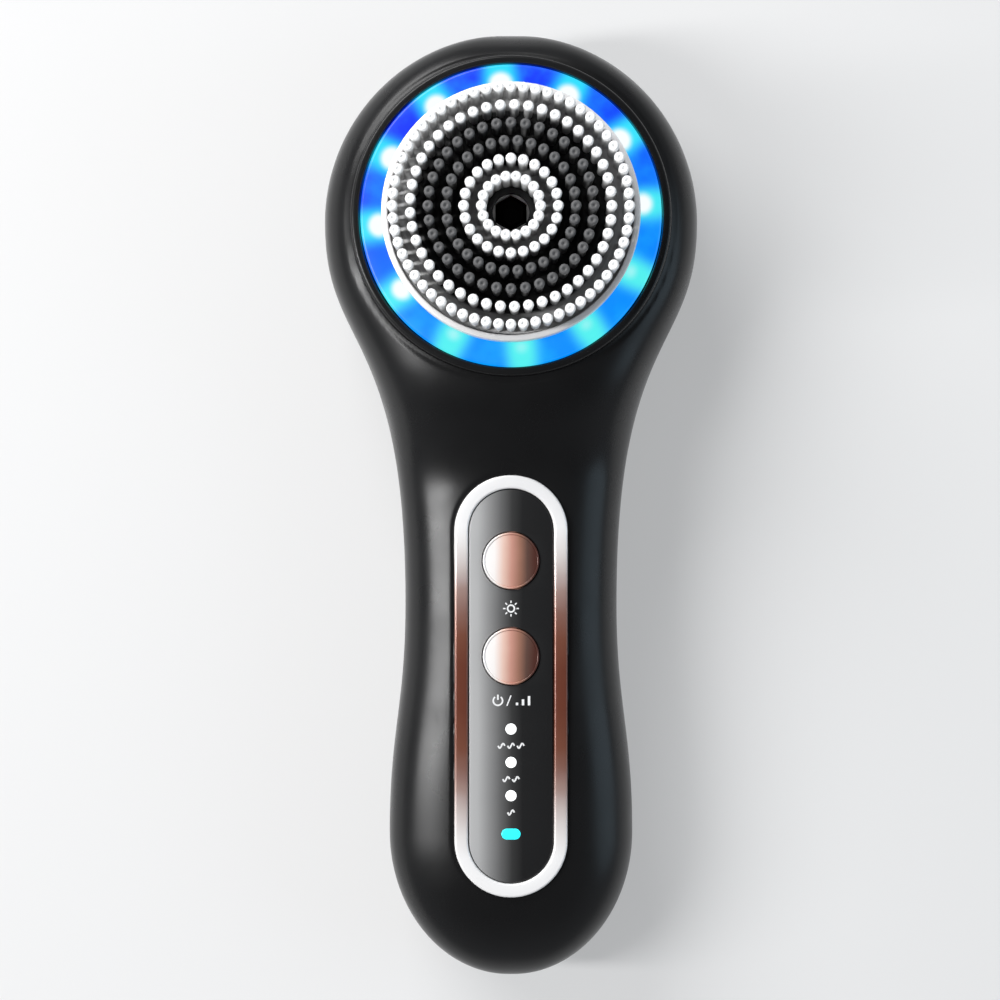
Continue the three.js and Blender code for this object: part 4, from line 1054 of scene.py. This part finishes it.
class MakePanel(bpy.types.Operator):
    """Rose gold bezel, satin plate, light pipes and printed marks"""

    bl_idname = "brush.panel"
    bl_label = "Control panel"

    def execute(self, context):
        size = panel_sizes()
        low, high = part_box("panel_bezel")
        path, normals = slot_path(high.x - low.x, high.y - low.y)
        band, rounding = size.band, size.round
        corners = [(-band, low.z, 0), (0, low.z, 0), (0, high.z, rounding), (-band, high.z, rounding)]
        bezel = carried(soft_corners(corners, 7), path, normals, PANEL_Y)
        place("bezel_band", [bezel], "handle", material_for("bezel"), ["panel_bezel"])
        self.plate()
        self.lenses()
        self.marks()
        return {"FINISHED"}

    def plate(self):
        """The satin plate, with a hole for each button and each round light pipe."""
        low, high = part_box("panel_plate")
        path, normals = slot_path(high.x - low.x + 0.3 * MM, high.y - low.y + 0.3 * MM)
        radius = (high.x - low.x) / 2 + 0.15 * MM
        corners = [(-radius, low.z, 0), (0, low.z, 0), (0, high.z, 0.25 * MM), (-radius, high.z, 0)]
        plate = carried(soft_corners(corners, closed=False), path, normals, PANEL_Y, closed=False)
        reaches = {**dict.fromkeys(BUTTONS, -0.65 * MM), **dict.fromkeys(MODE_LENSES, 0.02 * MM)}
        holes = [
            round_cutter(radius_of(node) + reach, low.z - MM, high.z + MM, middle(node).y, 96)
            for node, reach in reaches.items()
        ]
        material = material_for("panel_black")
        place("satin_plate", [plate], "handle", material, ["panel_plate"], 30, holes)

    def lenses(self):
        """Three round domes, and a slot-shaped one laid across the panel."""
        for node in MODE_LENSES:
            radius, top, bottom = radius_of(node), top_of(node), bottom_of(node)
            dome = [(0, bottom, 0), (radius, bottom, 0), (radius, top, 0.25 * MM),
                    (radius * 0.6, top + 0.12 * MM, 1 * MM), (0, top + 0.14 * MM, 0)]
            profile = soft_corners(dome, closed=False)
            place(f"{node}_dome", [turned(profile, middle(node).y, 48, closed=False)], "handle",
                  material_for("white_lens"), [node])
        low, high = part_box("charge_lens")
        width, span = high.y - low.y, high.x - low.x
        path, normals = slot_path(width, span, 24, 8)
        crown = high.z + 0.1 * MM
        corners = [(-width / 2, low.z, 0), (0, low.z, 0), (0, crown, 0.2 * MM), (-width / 2, crown, 0)]
        points, faces, kept = carried(soft_corners(corners, closed=False), path, normals, 0, closed=False)
        turned_points = np.column_stack([-points[:, 1], points[:, 0] + middle("charge_lens").y, points[:, 2]])
        place("charge_dome", [(turned_points, faces, kept)], "handle", material_for("cyan_lens"),
              ["charge_lens"])

    def marks(self):
        """Generic signs: a sun under the light button, a power sign, a slash and bars under the mode button,
        and three, two and one waves for the strengths."""
        size = panel_sizes()
        low, high = PLATE_TOP - 0.02 * MM, PLATE_TOP + size.mark
        line = size.stroke

        def arc(centre, radius, start, end, count=28):
            t = np.radians(np.linspace(start, end, count))[:, None]
            return np.array(centre) + radius * np.hstack([np.sin(t), np.cos(t)])

        def straight(a, b, count=3):
            t = np.linspace(0, 1, count)[:, None]
            return np.array(a) * (1 - t) + np.array(b) * t

        def ring(centre, radius):
            corners = [(radius - line / 2, low, 0), (radius + line / 2, low, 0), (radius + line / 2, high, 0),
                       (radius - line / 2, high, 0)]
            return turned(soft_corners(corners), centre[1], 40, x=centre[0])

        light = (middle("light_button").y + middle("mode_button").y) / 2
        sun = [ring((0, light), 0.62 * MM)]
        for k in range(8):
            way = np.array([math.sin(k * math.pi / 4), math.cos(k * math.pi / 4)])
            centre = np.array([0, light])
            ray = straight(centre + way * 1.0 * MM, centre + way * 1.45 * MM)
            sun.append(stroke(ray, line * 0.8, low, high))
        mode = middle("mode_button").y - 8.1 * MM
        power_x = -2.4 * MM
        sign = [stroke(arc((power_x, mode), 0.85 * MM, 38, 322), line, low, high),
                stroke(straight((power_x, mode + 0.15 * MM), (power_x, mode + 1.1 * MM)), line, low, high)]
        slanted = straight((-0.75 * MM, mode - 0.95 * MM), (0.0, mode + 0.95 * MM))
        slash = [stroke(slanted, line * 0.8, low, high)]
        strength = []
        for k in range(3):
            x = (1.1 + 1.1 * k) * MM
            bar = straight((x, mode - 0.85 * MM), (x, mode + (0.6 * k - 0.35) * MM))
            strength.append(stroke(bar, line * 1.5, low, high))
        levels = []
        wave_drop, wave_pitch, half_wave, wave_height = 3.05 * MM, 1.75 * MM, 0.62 * MM, 0.42 * MM
        t = np.linspace(-1, 1, 21)
        for node, count in zip(MODE_LENSES, (3, 2, 1)):
            base = middle(node).y - wave_drop
            for k in range(count):
                x = (k - (count - 1) / 2) * wave_pitch
                wave = np.column_stack([x + half_wave * t, base + wave_height * np.sin(np.pi * t)])
                levels.append(stroke(wave, line, low, high))
        marks = sun + sign + slash + strength + levels
        place("printed_marks", marks, "handle", material_for("print"))


class MakeButtons(bpy.types.Operator):
    """Two round rose gold buttons, each with a bright rim round a shallow dome"""

    bl_idname = "brush.buttons"
    bl_label = "Buttons"

    def execute(self, context):
        for node, body in (("light_button", "light_key"), ("mode_button", "mode_key")):
            low, high = bottom_of(node), top_of(node)
            flange = radius_of(node)
            radius = flange - 0.9 * MM
            rim = 0.32 * MM
            dome = np.linspace(radius - rim - 0.12 * MM, 0, 24)
            crown = high - 0.3 * MM * (dome / radius) ** 2
            edge = [(0, low, 0), (flange, low, 0), (flange, low + MM, 0), (radius, low + MM, 0),
                    (radius, high - 0.12 * MM, 0.14 * MM), (radius - rim, high - 0.12 * MM, 0.12 * MM),
                    (radius - rim - 0.12 * MM, high - 0.36 * MM, 0)]
            profile = np.concatenate([soft_corners(edge, closed=False), np.column_stack([dome, crown])])
            button = turned(profile, middle(node).y, 160, closed=False)
            place(f"{node}_cap", [button], body, material_for("rose_gold"), [node], 40)
        return {"FINISHED"}


class FinishInsides(bpy.types.Operator):
    """Gives each piece inside the casings the finish of its slot"""

    bl_idname = "brush.insides"
    bl_label = "Insides"

    def execute(self, context):
        slots = {part["node"]: part["material_slot"] for part in frame["record"]["subparts"]}
        for name, node in frame["nodes"].items():
            if node.hide_render:
                continue
            node.data.materials.clear()
            node.data.materials.append(material_for(slots[name]))
        return {"FINISHED"}


class SetStage(bpy.types.Operator):
    """Pale floor, soft studio lights and the camera straight above"""

    bl_idname = "brush.stage"
    bl_label = "Stage"

    AIM = Vector((0, 0, 0.02))
    WHITE, COOL = (1, 1, 1), (0.62, 0.84, 1)
    # each lamp's name, place, width, depth, watts and colour
    LAMP_TABLE = (
        ("key_left", (-0.57, -0.035, 0.6), 0.08, 0.54, 3.9, WHITE),
        ("key_foot", (-0.43, -0.065, 0.64), 0.05, 0.3, 0.45, WHITE),
        ("soft_upper_left", (-0.42, 0.62, 0.56), 0.8, 0.5, 7.8, WHITE),
        ("cool_right", (0.68, -0.06, 0.36), 0.5, 0.5, 0.85, COOL),
    )

    def execute(self, context):
        scene = context.scene
        scene.view_settings.view_transform = "Standard"
        self.floor()
        self.world(scene)
        for lamp in self.LAMP_TABLE:
            self.lamp(*lamp)
        data = bpy.data.cameras.new("camera")
        camera = bpy.data.objects.new("camera", data)
        scene.collection.objects.link(camera)
        distance, across = 0.5, 0.188
        data.lens = data.sensor_width * distance / across
        data.shift_x = -0.011
        camera.location = (0, 1.5 * MM, PARTING + distance)
        scene.camera = camera
        return {"FINISHED"}

    def floor(self):
        """A flat square just under the object."""
        half = 2.5
        points = np.array([[[-half, -half, 0], [half, -half, 0]], [[-half, half, 0], [half, half, 0]]], float)
        points[..., 2] = -0.1 * MM
        obj = mesh_object("floor", [weld(points.reshape(-1, 3), grid_quads(2, 2, False, False))])
        finish = Finish("pale_floor")
        grey = finish.mix(finish.noise(3, 2), (0.42, 0.42, 0.42), (0.45, 0.45, 0.45))
        finish.set(Base_Color=grey, Roughness=0.9)
        finish.set(Emission_Color=(1, 1, 1, 1), Emission_Strength=0.36)
        obj.data.materials.append(finish.material)

    def world(self, scene):
        """Grey surroundings, darker overhead."""
        world = bpy.data.worlds.new("studio")
        world.use_nodes = True
        tree = world.node_tree
        direction = tree.nodes.new("ShaderNodeTexCoord").outputs["Generated"]
        height = tree.nodes.new("ShaderNodeSeparateXYZ")
        tree.links.new(direction, height.inputs[0])
        sky = tree.nodes.new("ShaderNodeValToRGB")
        stops = ((0.4, (0.33, 0.34, 0.36, 1)), (0.8, (0.12, 0.12, 0.125, 1)))
        for element, (position, rgba) in zip(sky.color_ramp.elements, stops):
            element.position = position
            element.color = rgba
        tree.links.new(height.outputs["Z"], sky.inputs["Fac"])
        tree.links.new(sky.outputs["Color"], tree.nodes["Background"].inputs["Color"])
        scene.world = world

    def lamp(self, name, spot, width, depth, power, rgb):
        """An oval area light that faces the object."""
        data = bpy.data.lights.new(name, "AREA")
        data.shape = "ELLIPSE"
        data.size, data.size_y = width, depth
        data.energy = power
        data.color = rgb
        obj = bpy.data.objects.new(name, data)
        obj.location = spot
        obj.rotation_euler = (self.AIM - Vector(spot)).to_track_quat("-Z", "Y").to_euler()
        bpy.context.scene.collection.objects.link(obj)


class BrushSidebar(bpy.types.Panel):
    """Lists the brush's sizes, colours and pieces"""

    bl_idname = "VIEW3D_PT_cleansing_brush"
    bl_label = "Cleansing brush"
    bl_space_type = "VIEW_3D"
    bl_region_type = "UI"
    bl_category = "Brush"

    def draw(self, context):
        layout = self.layout
        for operator in PIECES:
            layout.operator(operator.bl_idname)
        for group in GROUPS:
            owner = getattr(context.scene, group)
            box = layout.box()
            for key in owner.bl_rna.properties.keys():
                if key not in ("rna_type", "name"):
                    box.prop(owner, key)


PIECES = (MakeRearCasing, MakeFrontCasing, MakeLightRing, MakeSpindle, MakeBrushHead, MakePanel, MakeButtons,
          FinishInsides, SetStage)
GROUPS = {"brush_body": BodySizes, "brush_head": BrushSizes, "brush_panel": PanelSizes,
          "brush_colours": Colours}


def register():
    for kind in (*GROUPS.values(), *PIECES, BrushSidebar):
        bpy.utils.register_class(kind)
    for name, kind in GROUPS.items():
        setattr(bpy.types.Scene, name, PointerProperty(type=kind))


def unregister():
    for name in GROUPS:
        delattr(bpy.types.Scene, name)
    for kind in (BrushSidebar, *reversed(PIECES), *GROUPS.values()):
        bpy.utils.unregister_class(kind)


def main():
    register()
    bpy.ops.brush.rear_casing()
    bpy.ops.brush.front_casing()
    bpy.ops.brush.light_ring()
    bpy.ops.brush.spindle()
    bpy.ops.brush.bristle_head()
    bpy.ops.brush.panel()
    bpy.ops.brush.buttons()
    bpy.ops.brush.insides()
    bpy.ops.brush.stage()


if __name__ == "__main__":
    main()
